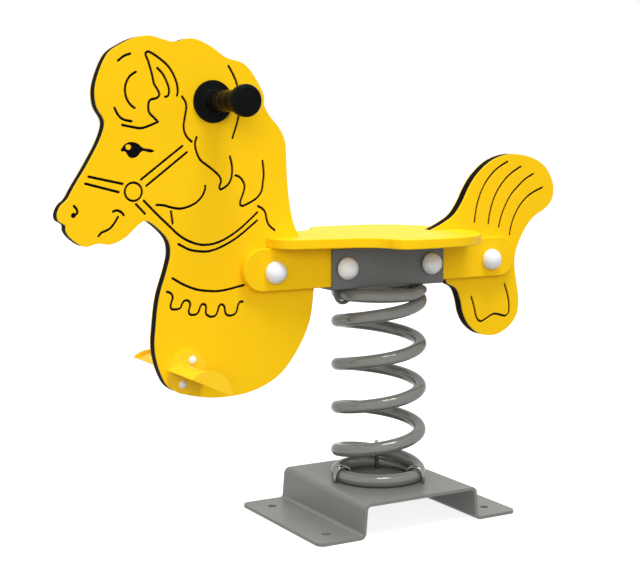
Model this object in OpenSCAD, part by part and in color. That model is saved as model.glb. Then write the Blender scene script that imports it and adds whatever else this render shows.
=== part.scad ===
// Playground spring rider: a horse figure cut from three-layer sheet, carried by one coil spring.
// X runs to the nose, Y to the rider's left and Z up; the origin is on the ground under the spring.

/* [Base plate] */
// Length of the base plate along the rider
base_len = 363; // [340:1:420]
// Width of the base plate across the rider
base_w = 255; // [230:1:300]
// Sheet thickness of the base plate
base_t = 5; // [4:0.5:6]
// Height of the platform's top face above the ground
platform_z = 54; // [50:0.1:70]
// Length of the platform between its two bends
platform_len = 204; // [196:1:220]
// Lean of the webs from the vertical, in degrees
web_lean = 4.5; // [2:0.5:10]
// Inside bend radius of the sheet
base_bend_r = 5; // [3:0.5:7]
// Corner radius of the flanges seen from above
base_corner_r = 12; // [6:1:20]
// Spacing of the anchor holes along the rider
anchor_dx = 293; // [280:1:310]
// Spacing of the anchor holes across the rider
anchor_dy = 174; // [150:1:190]
// Diameter of an anchor hole
anchor_d = 14; // [10:0.5:16]

/* [Spring] */
// Wire diameter
wire_d = 20; // [16:0.5:21]
// Mean diameter of the coil
coil_d = 131.8; // [120:0.2:136]
// Free length of the spring from the platform to the bracket
spring_len = 310.5; // [300:0.1:340]
// Rise of the wire in one active turn
spring_pitch = 69.3; // [66:0.1:74]
// Arc of the flat end turns, in degrees
dead_arc = 307; // [290:1:310]
// Gap between the drawn-out tip of the wire and the turn next to it
tip_gap = 1; // [0.8:0.1:1.4]
// Arc in which the wire bends from flat to full pitch, in degrees
ease_arc = 60; // [40:1:60]
// Angle round the axis at which the wire leaves the platform, in degrees
rise_angle = 147; // [120:1:160]
// Gap between the wire and what it stands on
wire_gap = 0.25; // [0.2:0.05:0.5]

/* [Spring clamps] */
// Angle along the wire from its lower tip to the first base clamp, in degrees
clamp_angle = 190; // [185:1:195]
// Rod diameter of the U-bolts
u_rod_d = 6; // [5:0.5:7]
// Gap between a U-bolt and the wire
u_gap = 0.6; // [0.5:0.1:0.8]
// Clearance of a rod in its hole, on the diameter
u_hole_gap = 0.8; // [0.4:0.1:1]
// Width over the flats of the clamp nuts
u_nut_af = 10; // [9.5:0.5:12]
// Height of the hexagon of a clamp nut
u_nut_h = 5; // [4:0.5:6]
// Diameter of the flange of a clamp nut
u_flange_d = 13.6; // [13:0.2:15]
// Thickness of the flange of a clamp nut
u_flange_h = 1.5; // [1:0.1:2]
// Length of rod that stands out of a clamp nut
u_tail = 3; // [1:0.5:3.5]

/* [Top bracket] */
// Length of the channel under the rails
bracket_len = 205; // [200:1:230]
// Sheet thickness of the channel
bracket_t = 5; // [4:0.5:6]
// Height of the channel's side walls above its floor
bracket_wall_h = 58; // [52:1:62]
// Outside bend radius of the channel
bracket_bend_r = 4; // [2:0.5:5]

/* [Rails] */
// Length of the rails
rail_len = 500; // [480:1:540]
// Height of the rails
rail_h = 64; // [62:0.5:72]
// Thickness of the rail sheet
rail_t = 15; // [14:0.5:20]

/* [Seat] */
// Length of the seat
seat_len = 355; // [340:1:380]
// Greatest width of the seat
seat_w = 296; // [260:1:320]
// Thickness of the seat sheet
seat_t = 15; // [14:0.5:20]
// Distance of the seat's rear end behind the spring's axis
seat_rear = 150; // [145:1:165]
// Gap between a panel and its slot in the seat
slot_gap = 0.5; // [0.3:0.1:1]
// Diameter of the seat screws
seat_screw_d = 6; // [5:0.5:7]
// Clearance of a seat screw in the seat, on the diameter
seat_screw_gap = 0.8; // [0.4:0.1:1]
// Diameter of the heads of the seat screws
seat_head_d = 12; // [11:0.5:12.5]
// Height of the heads of the seat screws
seat_head_h = 4; // [3:0.5:5]
// Depth of the seat screws in the rails
seat_screw_depth = 26; // [15:1:28]
// Thickness of the plugs over the seat screws
seat_plug_h = 3; // [2:0.5:4]

/* [Panels] */
// Thickness of the three-layer sheet
panel_t = 20; // [19:0.5:21]
// Thickness of one coloured outer layer
skin_t = 2.5; // [1.5:0.1:3.5]
// Width of the routed grooves
groove_w = 3.2; // [2.4:0.1:3.6]
// Side of the square that the head figure is drawn in
head_size = 500; // [490:1:510]
// Place of that square ahead of the spring's axis
head_x = 100; // [98:1:102]
// Side of the square that the tail figure is drawn in
tail_size = 500; // [490:1:510]
// Place of that square behind the spring's axis
tail_x = 100; // [98:1:102]
// Height of the tongues that the panels have between the rails
tongue_h = 49; // [44:1:50]
// Gap between a tongue and the seat
tongue_gap = 1; // [0.5:0.1:1.5]
// Length of a tongue beyond its bolt
tongue_over = 24; // [18:1:26]

/* [Rail bolts and caps] */
// Shank diameter of the rail bolts
bolt_d = 8; // [6:0.5:8]
// Clearance of a rail bolt in its hole, on the diameter
bolt_gap = 0.6; // [0.2:0.1:1]
// Place of the bolts in the bracket from the spring's axis
bracket_bolt_x = 77.5; // [72:0.5:82]
// Place of the bolts near the rail ends from the spring's axis
rail_bolt_x = 199; // [190:1:215]
// Height of the bolts above the underside of the rails
bolt_rise = 28; // [26:0.5:34]
// Width over the flats of the bolt heads and nuts
bolt_af = 13; // [11:0.5:13]
// Height of the bolt heads and nuts
bolt_head_h = 5.3; // [4:0.1:5.5]
// Length of bolt that stands out of its nut
bolt_tail = 1; // [0.5:0.1:1.2]
// Diameter of the caps
cap_d = 35; // [34:0.5:40]
// Height of the caps
cap_h = 16.5; // [12:0.5:17]
// Height of a cap's rim above the face that its washer lies on
cap_lift = 2.5; // [1.5:0.1:3]
// Wall of the caps
cap_wall = 2; // [1.2:0.1:2.2]
// Height of the washers inside the rim of the caps that snap over them
cap_washer_h = 2; // [1.5:0.1:2.2]
// Gap between a cap and its washer
cap_gap = 0.25; // [0.1:0.05:0.5]

/* [Handles] */
// Place of the handles along the head figure, as a share
handle_x_share = 0.384; // [0.36:0.002:0.4]
// Height of the handles above the seat, as a share of the head figure
handle_z_share = 0.401; // [0.381:0.002:0.421]
// Reach of a handle from the panel
handle_len = 115; // [105:1:130]
// Diameter of the handle's flange
handle_flange_d = 61.4; // [54:0.2:70]
// Thickness of the handle's flange
handle_flange_h = 5; // [4:0.5:8]
// Radius of the hollow between the flange and the grip
handle_root_r = 5.5; // [3:0.5:8]
// Diameter of the grip
grip_d = 31; // [28:0.5:34]
// Diameter of the knob
knob_d = 45.6; // [42:0.2:52]
// Length of the knob, from where it swells out of the grip
knob_len = 28; // [24:1:34]
// Edge radius of the knob's end face
knob_r = 6.5; // [4:0.5:8]
// Diameter of the steel rod in the handles
handle_rod_d = 12; // [10:0.5:14]
// Depth of plastic beyond the end of the rod
handle_rod_cover = 20; // [14:1:26]
// Clearance of the rod in its bore, on the diameter
rod_gap = 0.2; // [0.1:0.05:0.4]

/* [Footrests] */
// Place of the footrests along the head figure, as a share
foot_x_share = 0.478; // [0.47:0.002:0.48]
// Height of the footrests against the seat, as a share of the head figure
foot_z_share = -0.381; // [-0.384:0.002:-0.37]
// Tilt of the footrests, toe up, in degrees
foot_tilt = 25; // [15:1:30]
// Reach of a footrest from its plate
foot_len = 91; // [80:1:100]
// Width of the tread
tread_w = 60; // [54:1:62]
// Height of the tread's arch
tread_h = 19; // [16:0.5:20]
// Drop of the tread's flat side below the plate's centre
tread_drop = 8.5; // [7:0.5:9]
// Height by which the lip stands over the tread
lip_over = 4.5; // [3:0.5:5]
// Thickness of the lip
lip_t = 5; // [4:0.5:7]
// Wall of the moulded tread
tread_wall = 4; // [3:0.5:5]
// Number of hollow bays under the tread
tread_bays = 3; // [2:1:4]
// Width of the grip slots in the tread
tread_slot_w = 2.6; // [2:0.2:3.2]
// Depth of the grip slots in the tread
tread_slot_h = 1.4; // [0.8:0.2:1.8]
// Number of grip slots
tread_slots = 5; // [3:1:6]
// Spacing of the grip slots
tread_slot_step = 8; // [7:0.5:9]
// Width of the drain channel inside the lip
drain_w = 6; // [4:0.5:7]
// Length of the drain channel across the tread
drain_len = 53; // [40:1:53]
// Depth of the drain channel
drain_h = 5; // [3:0.5:6]
// Thickness of the plate on the panel
foot_plate_t = 6; // [5:0.5:8]
// Radius of the plate's round ends
foot_plate_r = 28.5; // [27:0.5:31]
// Distance between the centres of the plate's round ends
foot_plate_step = 9; // [6:0.5:12]
// Spacing of the two bolts of a footrest
foot_bolt_step = 38; // [37:0.5:42]
// Diameter of the footrest bolts
foot_bolt_d = 6; // [5:0.5:7]
// Diameter of the domed heads
dome_d = 12.6; // [11.2:0.2:14]
// Height of the domed heads
dome_h = 5.6; // [4:0.2:5.6]

/* [Fit] */
// Gap between faces that are bonded or bolted together
fit_gap = 0.05; // [0.02:0.01:0.1]

/* [Quality] */
// Sides of the round surfaces
round_fn = 64; // [48:8:96]
// Sides of the spring's wire
wire_sides = 12; // [8:4:16]
// Rings in one turn of the spring
turn_rings = 28; // [20:2:36]
// Steps between two points of a drawn outline
outline_steps = 3; // [2:1:4]
// Steps between two points of a groove
groove_steps = 3; // [2:1:4]
// Steps in a rounded corner or end
corner_steps = 6; // [4:1:10]

/* [Hidden] */
$fn = round_fn;

// Overrun of all cuts
cut = 1;

// Colours
yellow = "#F7C81A";
black = "#1A1A1C";
coat_grey = "#8C8D88";
spring_grey = "#70716C";
zinc = "#C4C8CA";
cap_white = "#E6E9E8";

// Heights of the stack from the spring up
bracket_z = platform_z + spring_len;
floor_z = bracket_z + bracket_t;
rail_z = floor_z + fit_gap;
rail_top = rail_z + rail_h;
seat_z = rail_top + fit_gap;
seat_top = seat_z + seat_t;
bolt_z = rail_z + bolt_rise;

// Places across the rider
core_y = panel_t / 2 - skin_t - fit_gap;
skin_y = panel_t / 2 - skin_t;
rail_y = panel_t / 2 + fit_gap;
rail_face = rail_y + rail_t;
wall_y = rail_face + fit_gap;
wall_face = wall_y + bracket_t;
bolt_hole_d = bolt_d + bolt_gap;

// Helix of the spring
coil_r = coil_d / 2;
coil_z0 = platform_z + wire_gap + wire_d / 2;
coil_rise = spring_len - 2 * wire_gap - wire_d;
climb = spring_pitch / 360;
active_arc = coil_rise / climb;
total_arc = 2 * dead_arc + ease_arc + active_arc;
first_angle = rise_angle - dead_arc - ease_arc / 2;
coil_rings = ceil(total_arc * turn_rings / 360);

// Clamps: angles of the base clamps from the first one, and the turned angle along the wire at each
u_r = wire_d / 2 + u_gap + u_rod_d / 2;
base_clamp_angles = [0, 120, 240];
base_clamp_arcs = [for (a = base_clamp_angles) a + clamp_angle];
top_clamp_arcs = [
    360 * ceil((first_angle + total_arc - dead_arc) / 360) - first_angle,
    360 * ceil((first_angle + total_arc - dead_arc) / 360) - 180 - first_angle
];

// Seat screws, as shares of the seat's length from its rear end
seat_screw_shares = [0.24, 0.47, 0.75];
seat_screw_y = rail_y + rail_t / 2;

// Places of the pieces on the head panel
handle_x = head_x + handle_x_share * head_size;
handle_z = seat_top + handle_z_share * head_size;
foot_x = head_x + foot_x_share * head_size;
foot_z = seat_top + foot_z_share * head_size;
foot_y = panel_t / 2 + fit_gap;
handle_y = panel_t / 2 + fit_gap;
handle_rod_len = 2 * (handle_y + handle_len - handle_rod_cover);

// Tongues of the panels between the rails
tongue_z = seat_z - tongue_gap - tongue_h;
tongue_r = tongue_h / 2;
tongue_x = bracket_bolt_x - tongue_over + tongue_r;

// Outline of the head, from the seat over the mane, face and chest to the rail
head_outline_shares = [
    [0.1, 0], [0.12, 0.047], [0.132, 0.104], [0.139, 0.164], [0.143, 0.244], [0.146, 0.284],
    [0.164, 0.322], [0.2, 0.364], [0.216, 0.393], [0.216, 0.418], [0.24, 0.464], [0.28, 0.51],
    [0.34, 0.528], [0.38, 0.554], [0.42, 0.573], [0.452, 0.579], [0.502, 0.568], [0.54, 0.575],
    [0.576, 0.583], [0.62, 0.576], [0.66, 0.558], [0.7, 0.531], [0.733, 0.464], [0.741, 0.424],
    [0.736, 0.384], [0.715, 0.344], [0.724, 0.304], [0.768, 0.224], [0.807, 0.164], [0.828, 0.13],
    [0.846, 0.114], [0.857, 0.09], [0.854, 0.073], [0.834, 0.059], [0.833, 0.044], [0.82, 0.024],
    [0.78, -0.002], [0.74, 0.005], [0.704, 0.001], [0.66, 0.018], [0.62, 0.052], [0.596, 0.064],
    [0.56, 0.042], [0.527, 0.004], [0.521, -0.032], [0.531, -0.076], [0.557, -0.156],
    [0.569, -0.236], [0.573, -0.316], [0.55, -0.396], [0.524, -0.43], [0.424, -0.463],
    [0.332, -0.469], [0.244, -0.456], [0.164, -0.416], [0.098, -0.336], [0.061, -0.256],
    [0.047, -0.164]
];

// Outline of the tail, from the seat over its tip and down to the rail
tail_outline_shares = [
    [-0.016, 0], [0.01, 0.01], [0.04, 0.024], [0.074, 0.045], [0.105, 0.084], [0.127, 0.124],
    [0.155, 0.164], [0.2, 0.204], [0.24, 0.225], [0.292, 0.237], [0.344, 0.235], [0.4, 0.22],
    [0.44, 0.197], [0.47, 0.158], [0.481, 0.118], [0.472, 0.08], [0.444, 0.053], [0.404, 0.032],
    [0.368, -0.003], [0.338, -0.052], [0.323, -0.096], [0.322, -0.136], [0.332, -0.192],
    [0.341, -0.256], [0.334, -0.296], [0.308, -0.33], [0.26, -0.356], [0.228, -0.36],
    [0.18, -0.35], [0.136, -0.316], [0.114, -0.276], [0.104, -0.236], [0.086, -0.196],
    [0.05, -0.176]
];

// Grooves of the head: forelock, ear, mane, face, bridle, rein and chest, in that order
head_groove_shares = [
    [[0.671, 0.511], [0.652, 0.525], [0.635, 0.531]],
    [[0.619, 0.481], [0.636, 0.47], [0.649, 0.448], [0.652, 0.428], [0.648, 0.408], [0.636, 0.39],
     [0.624, 0.381]],
    [[0.684, 0.381], [0.674, 0.362], [0.66, 0.35], [0.634, 0.344]],
    [[0.662, 0.334], [0.63, 0.328], [0.606, 0.325], [0.57, 0.336], [0.554, 0.343]],
    [[0.554, 0.343], [0.568, 0.356], [0.58, 0.368], [0.583, 0.384], [0.58, 0.4], [0.572, 0.406],
     [0.56, 0.408], [0.55, 0.415], [0.549, 0.422], [0.556, 0.436], [0.564, 0.448], [0.57, 0.474],
     [0.582, 0.514], [0.589, 0.532], [0.582, 0.538], [0.566, 0.532], [0.544, 0.518], [0.52, 0.498],
     [0.504, 0.474], [0.494, 0.448], [0.492, 0.428], [0.494, 0.417]],
    [[0.554, 0.493], [0.54, 0.48], [0.528, 0.46], [0.519, 0.434], [0.522, 0.416], [0.531, 0.413]],
    [[0.479, 0.414], [0.469, 0.4], [0.466, 0.384], [0.47, 0.36], [0.475, 0.328], [0.472, 0.312],
     [0.462, 0.296], [0.45, 0.286]],
    [[0.435, 0.299], [0.44, 0.28], [0.436, 0.258], [0.424, 0.234], [0.4, 0.216], [0.38, 0.201],
     [0.364, 0.186], [0.358, 0.172], [0.364, 0.154], [0.36, 0.147], [0.352, 0.15], [0.336, 0.16],
     [0.326, 0.176], [0.322, 0.2], [0.324, 0.224], [0.329, 0.242]],
    [[0.311, 0.187], [0.298, 0.182], [0.284, 0.164], [0.282, 0.15], [0.288, 0.13], [0.296, 0.11],
     [0.296, 0.1], [0.289, 0.097], [0.276, 0.101], [0.256, 0.11], [0.24, 0.12], [0.226, 0.138],
     [0.221, 0.164], [0.218, 0.192], [0.222, 0.228]],
    [[0.238, 0.095], [0.222, 0.086], [0.213, 0.074], [0.21, 0.058], [0.202, 0.038], [0.182, 0.021]],
    [[0.331, 0.503], [0.316, 0.478], [0.304, 0.45], [0.298, 0.404], [0.3, 0.36], [0.306, 0.336],
     [0.32, 0.296]],
    [[0.808, 0.112], [0.8, 0.102], [0.799, 0.092], [0.807, 0.086]],
    [[0.694, 0.093], [0.682, 0.096], [0.67, 0.091], [0.662, 0.082]],
    [[0.68, 0.077], [0.69, 0.061], [0.704, 0.046], [0.716, 0.04], [0.728, 0.036], [0.738, 0.026]],
    [[0.608, 0.181], [0.48, 0.274]],
    [[0.592, 0.163], [0.466, 0.256]],
    [[0.764, 0.192], [0.664, 0.17]],
    [[0.774, 0.173], [0.676, 0.147]],
    [[0.625, 0.112], [0.598, 0.084]],
    [[0.601, 0.121], [0.56, 0.08], [0.53, 0.052], [0.49, 0.016], [0.46, -0.001], [0.43, -0.011],
     [0.406, -0.013], [0.38, -0.01], [0.35, 0], [0.3, 0.028], [0.24, 0.076]],
    [[0.496, -0.007], [0.46, -0.025], [0.42, -0.032], [0.4, -0.032], [0.37, -0.025], [0.33, -0.008],
     [0.3, 0.009], [0.241, 0.052]],
    [[0.562, 0.108], [0.54, 0.106], [0.516, 0.099], [0.49, 0.095], [0.47, 0.098], [0.44, 0.11],
     [0.42, 0.128], [0.41, 0.148], [0.409, 0.159]],
    [[0.518, 0.088], [0.513, 0.053]],
    [[0.516, -0.105], [0.48, -0.126], [0.44, -0.142], [0.4, -0.149], [0.37, -0.151], [0.34, -0.148],
     [0.286, -0.138]],
    [[0.534, -0.143], [0.522, -0.148], [0.516, -0.16], [0.523, -0.184], [0.52, -0.194],
     [0.504, -0.196], [0.492, -0.193], [0.486, -0.18], [0.477, -0.172], [0.466, -0.174],
     [0.461, -0.184], [0.466, -0.206], [0.462, -0.214], [0.452, -0.216], [0.442, -0.215],
     [0.434, -0.208], [0.428, -0.192], [0.42, -0.186], [0.411, -0.192], [0.411, -0.214],
     [0.404, -0.222], [0.39, -0.226], [0.378, -0.221], [0.372, -0.208], [0.368, -0.196],
     [0.36, -0.191], [0.351, -0.198], [0.348, -0.217], [0.34, -0.225], [0.326, -0.226],
     [0.314, -0.221], [0.309, -0.21], [0.305, -0.195], [0.298, -0.187], [0.29, -0.188]]
];

// Grooves of the tail: four strands and the fringe below
tail_groove_shares = [
    [[0.155, 0.019], [0.16, 0.054], [0.172, 0.098], [0.192, 0.138], [0.22, 0.172], [0.25, 0.195],
     [0.286, 0.213]],
    [[0.211, 0.011], [0.216, 0.044], [0.23, 0.088], [0.25, 0.124], [0.28, 0.158], [0.31, 0.18],
     [0.341, 0.196]],
    [[0.254, -0.001], [0.262, 0.03], [0.28, 0.07], [0.304, 0.106], [0.332, 0.132], [0.36, 0.154],
     [0.394, 0.171]],
    [[0.299, -0.028], [0.306, 0.004], [0.324, 0.044], [0.346, 0.074], [0.374, 0.098], [0.4, 0.112],
     [0.434, 0.125]],
    [[0.146, -0.226], [0.158, -0.26], [0.166, -0.29], [0.174, -0.304], [0.186, -0.31],
     [0.2, -0.306], [0.22, -0.296], [0.238, -0.289], [0.256, -0.291], [0.276, -0.297],
     [0.29, -0.298], [0.3, -0.29], [0.302, -0.272], [0.297, -0.236], [0.282, -0.193]]
];

// Eye of the head figure: its outline, and the centre and radius of the spot left in it
eye_shares = [
    [0.668, 0.265], [0.655, 0.28], [0.636, 0.287], [0.615, 0.281], [0.592, 0.268], [0.567, 0.261],
    [0.59, 0.259], [0.608, 0.257], [0.62, 0.248], [0.632, 0.244], [0.648, 0.249], [0.655, 0.258]
];
eye_spot_share = [0.645, 0.274];
eye_spot_r_share = 0.008;

// Nostril dot and bridle ring: centres and radii
nostril_share = [0.81, 0.086];
nostril_r_share = 0.007;
ring_share = [0.632, 0.147];
ring_r_share = 0.0255;

// Half outline of the seat, as shares of its length from the rear and of its half width
seat_outline_shares = [
    [0, 0], [0.005, 0.2], [0.02, 0.39], [0.056, 0.595], [0.107, 0.777], [0.175, 0.905],
    [0.268, 0.986], [0.366, 1], [0.479, 1], [0.541, 0.966], [0.572, 0.878], [0.588, 0.757],
    [0.62, 0.65], [0.676, 0.574], [0.761, 0.52], [0.873, 0.473], [0.944, 0.426], [0.983, 0.338],
    [1, 0.2], [1, 0]
];

function mix(a, b, t) = a + (b - a) * t;
function unit(v) = v / norm(v);
function left_of(v) = [-v[1], v[0]];

// Centripetal spline between b and c
function knot(a, b) = sqrt(norm(b - a));
function spline_pt(a, b, c, d, t) =
    let (t1 = knot(a, b),
         t2 = t1 + knot(b, c),
         t3 = t2 + knot(c, d),
         u = mix(t1, t2, t),
         p1 = mix(a, b, u / t1),
         p2 = mix(b, c, t),
         p3 = mix(c, d, (u - t2) / (t3 - t2)),
         q1 = mix(p1, p2, u / t2),
         q2 = mix(p2, p3, (u - t1) / (t3 - t1)))
    mix(q1, q2, t);

// Open curve through the points of a table
function curve(p, steps) =
    let (n = len(p) - 1,
         q = concat([2 * p[0] - p[1]], p, [2 * p[n] - p[n - 1]]))
    concat([for (i = [0 : n - 1], k = [0 : steps - 1])
                spline_pt(q[i], q[i + 1], q[i + 2], q[i + 3], k / steps)],
           [p[n]]);

// Outline of a line of width w with round ends along the points c
function round_end(p, t, r) =
    [for (k = [1 : corner_steps - 1])
        let (a = 180 * k / corner_steps)
        p + left_of(t) * r * cos(a) + t * r * sin(a)];
function tangent(c, i) = unit(c[min(i + 1, len(c) - 1)] - c[max(i - 1, 0)]);
function stroke(c, w) =
    let (n = len(c) - 1, r = w / 2)
    concat([for (i = [0 : n]) c[i] + left_of(tangent(c, i)) * r],
           round_end(c[n], tangent(c, n), r),
           [for (i = [n : -1 : 0]) c[i] - left_of(tangent(c, i)) * r],
           round_end(c[0], -tangent(c, 0), r));

// Arc of a circle about c
function arc(c, r, a0, a1, n) =
    [for (k = [0 : n]) let (a = mix(a0, a1, k / n)) c + r * [cos(a), sin(a)]];

// Corner b of the path a, b, c rounded by r
function fillet(a, b, c, r) =
    let (u = unit(a - b),
         v = unit(c - b),
         half = acos(u * v) / 2,
         o = b + unit(u + v) * r / sin(half),
         s = b + u * r / tan(half),
         e = b + v * r / tan(half))
    [for (k = [0 : corner_steps])
        let (m = mix(s, e, k / corner_steps) - o)
        o + unit(m) * r];

// Part of a disc over a chord: half chord w and height h above the line y
function bow(w, h, y) =
    let (r = (w * w + h * h) / (2 * h), a = asin(w / r), b = h > w ? 180 - a : a)
    arc([0, y + h - r], r, 90 - b, 90 + b, 4 * corner_steps);

// Point of the head and tail figures from its shares
function head_pt(s) = [head_x + s[0] * head_size, seat_top + s[1] * head_size];
function tail_pt(s) = [-tail_x - s[0] * tail_size, seat_top + s[1] * tail_size];
function head_pts(table) = [for (s = table) head_pt(s)];
function tail_pts(table) = [for (s = table) tail_pt(s)];

// Tongue between the rails, from its root below to its root above, on the side of sign
function tongue(root, sign) =
    concat([[sign * root, tongue_z]],
           [for (p = arc([tongue_x, tongue_z + tongue_r], tongue_r, 270, 90, 2 * corner_steps))
               [sign * p[0], p[1]]]);
head_low = head_pt(head_outline_shares[len(head_outline_shares) - 1]);
tail_low = tail_pt(tail_outline_shares[len(tail_outline_shares) - 1]);
head_back = head_pt(head_outline_shares[0]);
tail_front = tail_pt(tail_outline_shares[0]);
head_outline =
    concat(curve(head_pts(head_outline_shares), outline_steps),
           tongue(head_low[0] - tongue_r / 3, 1),
           [[head_back[0] - tongue_gap, tongue_z + tongue_h]]);
tail_outline =
    concat(curve(tail_pts(tail_outline_shares), outline_steps),
           tongue(-tail_low[0] - tongue_r / 2, -1),
           [[tail_front[0] + tongue_gap, tongue_z + tongue_h]]);

// Height of the wire's centre above its first turn after an arc, and its place
function climb_at(a) =
    a < 0 ? 0 :
    a < ease_arc ? climb * a * a / (2 * ease_arc) :
    a < active_arc ? climb * (a - ease_arc / 2) :
    a < active_arc + ease_arc ?
        coil_rise - climb * pow(active_arc + ease_arc - a, 2) / (2 * ease_arc) :
    coil_rise;

// Height of the wire's section: the tips are drawn out flat so that the end turns close
function tip_h(arc_a) = min(wire_d, climb_at(arc_a + 360 - dead_arc) - tip_gap);
function wire_h(arc_a) = min(tip_h(arc_a), tip_h(total_arc - arc_a));
function tip_shift(arc_a) = (wire_h(arc_a) - wire_d) / 2 * (arc_a < total_arc / 2 ? 1 : -1);
function wire_z(arc_a) = coil_z0 + climb_at(arc_a - dead_arc) + tip_shift(arc_a);
function wire_pt(arc_a) =
    let (a = first_angle + arc_a) [coil_r * cos(a), coil_r * sin(a), wire_z(arc_a)];
wire_arcs = [for (i = [0 : coil_rings]) total_arc * i / coil_rings];
wire_line = [for (a = wire_arcs) wire_pt(a)];
wire_heights = [for (a = wire_arcs) wire_h(a)];

// Least gap of the wire to itself, over points at least half a turn apart
wire_gaps = [
    for (i = [0 : coil_rings], j = [i + floor(turn_rings / 2) : 1 : coil_rings])
        norm(wire_line[i] - wire_line[j]) - (wire_heights[i] + wire_heights[j]) / 2
];
echo(least_wire_gap = min(wire_gaps));

// Prism along Y over an outline in X and Z, from y0 on
module prism_y(y0, depth, points) {
    translate([0, y0 + depth, 0])
        rotate([90, 0, 0])
            linear_extrude(depth)
                polygon(points);
}

// Round bar along Y at a place in X and Z
module bar_y(x, z, y0, depth, d) {
    translate([x, y0 + depth, z])
        rotate([90, 0, 0])
            cylinder(d = d, h = depth);
}

// Hexagon along Y
module hex_y(x, z, y0, depth, af) {
    translate([x, y0 + depth, z])
        rotate([90, 0, 0])
            cylinder(d = af / cos(30), h = depth, $fn = 6);
}

// U-bolt with its arch up, about the wire's centre
module u_bolt(leg) {
    rotate([90, 0, 0])
        rotate_extrude(angle = 180)
            translate([u_r, 0])
                circle(d = u_rod_d);
    for (s = [-1, 1])
        translate([s * u_r, 0, -leg])
            cylinder(d = u_rod_d, h = leg);
}

// Flanged nut standing on its flange
module clamp_nut() {
    difference() {
        union() {
            cylinder(d = u_flange_d, h = u_flange_h);
            translate([0, 0, u_flange_h])
                cylinder(d = u_nut_af / cos(30), h = u_nut_h, $fn = 6);
        }
        translate([0, 0, -cut])
            cylinder(d = u_rod_d + fit_gap, h = u_flange_h + u_nut_h + 2 * cut);
    }
}

// Places the children at the legs of a clamp on the wire
module at_legs(arc_a) {
    rotate([0, 0, first_angle + arc_a])
        for (s = [-1, 1])
            translate([coil_r + s * u_r, 0, 0])
                children();
}

// Sections of the bent base sheet: half of its upper and its lower side
web_run = (platform_z - base_t) * tan(web_lean);
anchor_x = min(anchor_dx / 2, base_len / 2 - anchor_d);
web_skew = base_t / cos(web_lean);
base_top = [
    [base_len / 2, base_t], [platform_len / 2 + web_run, base_t], [platform_len / 2, platform_z]
];
base_under = [
    [base_len / 2, 0],
    [platform_len / 2 - web_skew + platform_z * tan(web_lean), 0],
    [platform_len / 2 - web_skew + base_t * tan(web_lean), platform_z - base_t]
];
base_half_top =
    concat([base_top[0]],
           fillet(base_top[0], base_top[1], base_top[2], base_bend_r),
           fillet(base_top[1], base_top[2], [0, platform_z], base_bend_r + base_t));
base_half_under =
    concat([base_under[0]],
           fillet(base_under[0], base_under[1], base_under[2], base_bend_r + base_t),
           fillet(base_under[1], base_under[2], [0, platform_z - base_t], base_bend_r));
function flip(p) = [for (i = [len(p) - 1 : -1 : 0]) [-p[i][0], p[i][1]]];
function back(p) = [for (i = [len(p) - 1 : -1 : 0]) p[i]];
base_section =
    concat(base_half_top, flip(base_half_top), back(flip(base_half_under)), back(base_half_under));

// Rectangle with round corners about the origin
function round_rect(w, h, r) =
    concat(arc([w / 2 - r, h / 2 - r], r, 0, 90, corner_steps),
           arc([r - w / 2, h / 2 - r], r, 90, 180, corner_steps),
           arc([r - w / 2, r - h / 2], r, 180, 270, corner_steps),
           arc([w / 2 - r, r - h / 2], r, 270, 360, corner_steps));

module base_plate() {
    color(coat_grey)
        difference() {
            intersection() {
                prism_y(-base_w / 2, base_w, base_section);
                translate([0, 0, -cut])
                    linear_extrude(platform_z + 2 * cut)
                        polygon(round_rect(base_len, base_w, base_corner_r));
            }
            for (x = [-1, 1], y = [-1, 1])
                translate([x * anchor_x, y * anchor_dy / 2, -cut])
                    cylinder(d = anchor_d, h = base_t + 2 * cut);
            for (a = base_clamp_arcs)
                at_legs(a)
                    translate([0, 0, platform_z - base_t - cut])
                        cylinder(d = u_rod_d + u_hole_gap, h = base_t + 2 * cut);
        }
}

module base_u_bolts() {
    color(zinc)
        for (a = base_clamp_arcs)
            rotate([0, 0, first_angle + a])
                translate([coil_r, 0, wire_z(a)])
                    u_bolt(wire_z(a) - platform_z + base_t + u_flange_h + u_nut_h + u_tail);
}

module base_clamp_nuts() {
    color(zinc)
        for (a = base_clamp_arcs)
            at_legs(a)
                translate([0, 0, platform_z - base_t - fit_gap])
                    rotate([180, 0, 0])
                        clamp_nut();
}

// One ring of the wire after an arc
function wire_ring(arc_a) =
    let (a = first_angle + arc_a,
         step = total_arc / coil_rings / 2,
         out = [cos(a), sin(a), 0],
         run = unit(wire_pt(arc_a + step) - wire_pt(arc_a - step)),
         up = unit(cross(run, out)),
         c = wire_pt(arc_a))
    [for (k = [0 : wire_sides - 1])
        let (b = 360 * k / wire_sides)
        c + (out * cos(b) * wire_d + up * sin(b) * wire_h(arc_a)) / 2];
wire_points = [for (a = wire_arcs, p = wire_ring(a)) p];
last_ring = coil_rings * wire_sides;
wire_faces = concat(
    [for (i = [0 : coil_rings - 1], k = [0 : wire_sides - 1])
        let (m = i * wire_sides, k2 = (k + 1) % wire_sides)
        [m + k, m + wire_sides + k, m + wire_sides + k2]],
    [for (i = [0 : coil_rings - 1], k = [0 : wire_sides - 1])
        let (m = i * wire_sides, k2 = (k + 1) % wire_sides)
        [m + k, m + wire_sides + k2, m + k2]],
    [for (k = [1 : wire_sides - 2]) [0, k, k + 1]],
    [for (k = [1 : wire_sides - 2]) [last_ring, last_ring + k + 1, last_ring + k]]);

module coil_spring() {
    color(spring_grey)
        polyhedron(wire_points, wire_faces, convexity = 10);
}

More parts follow.
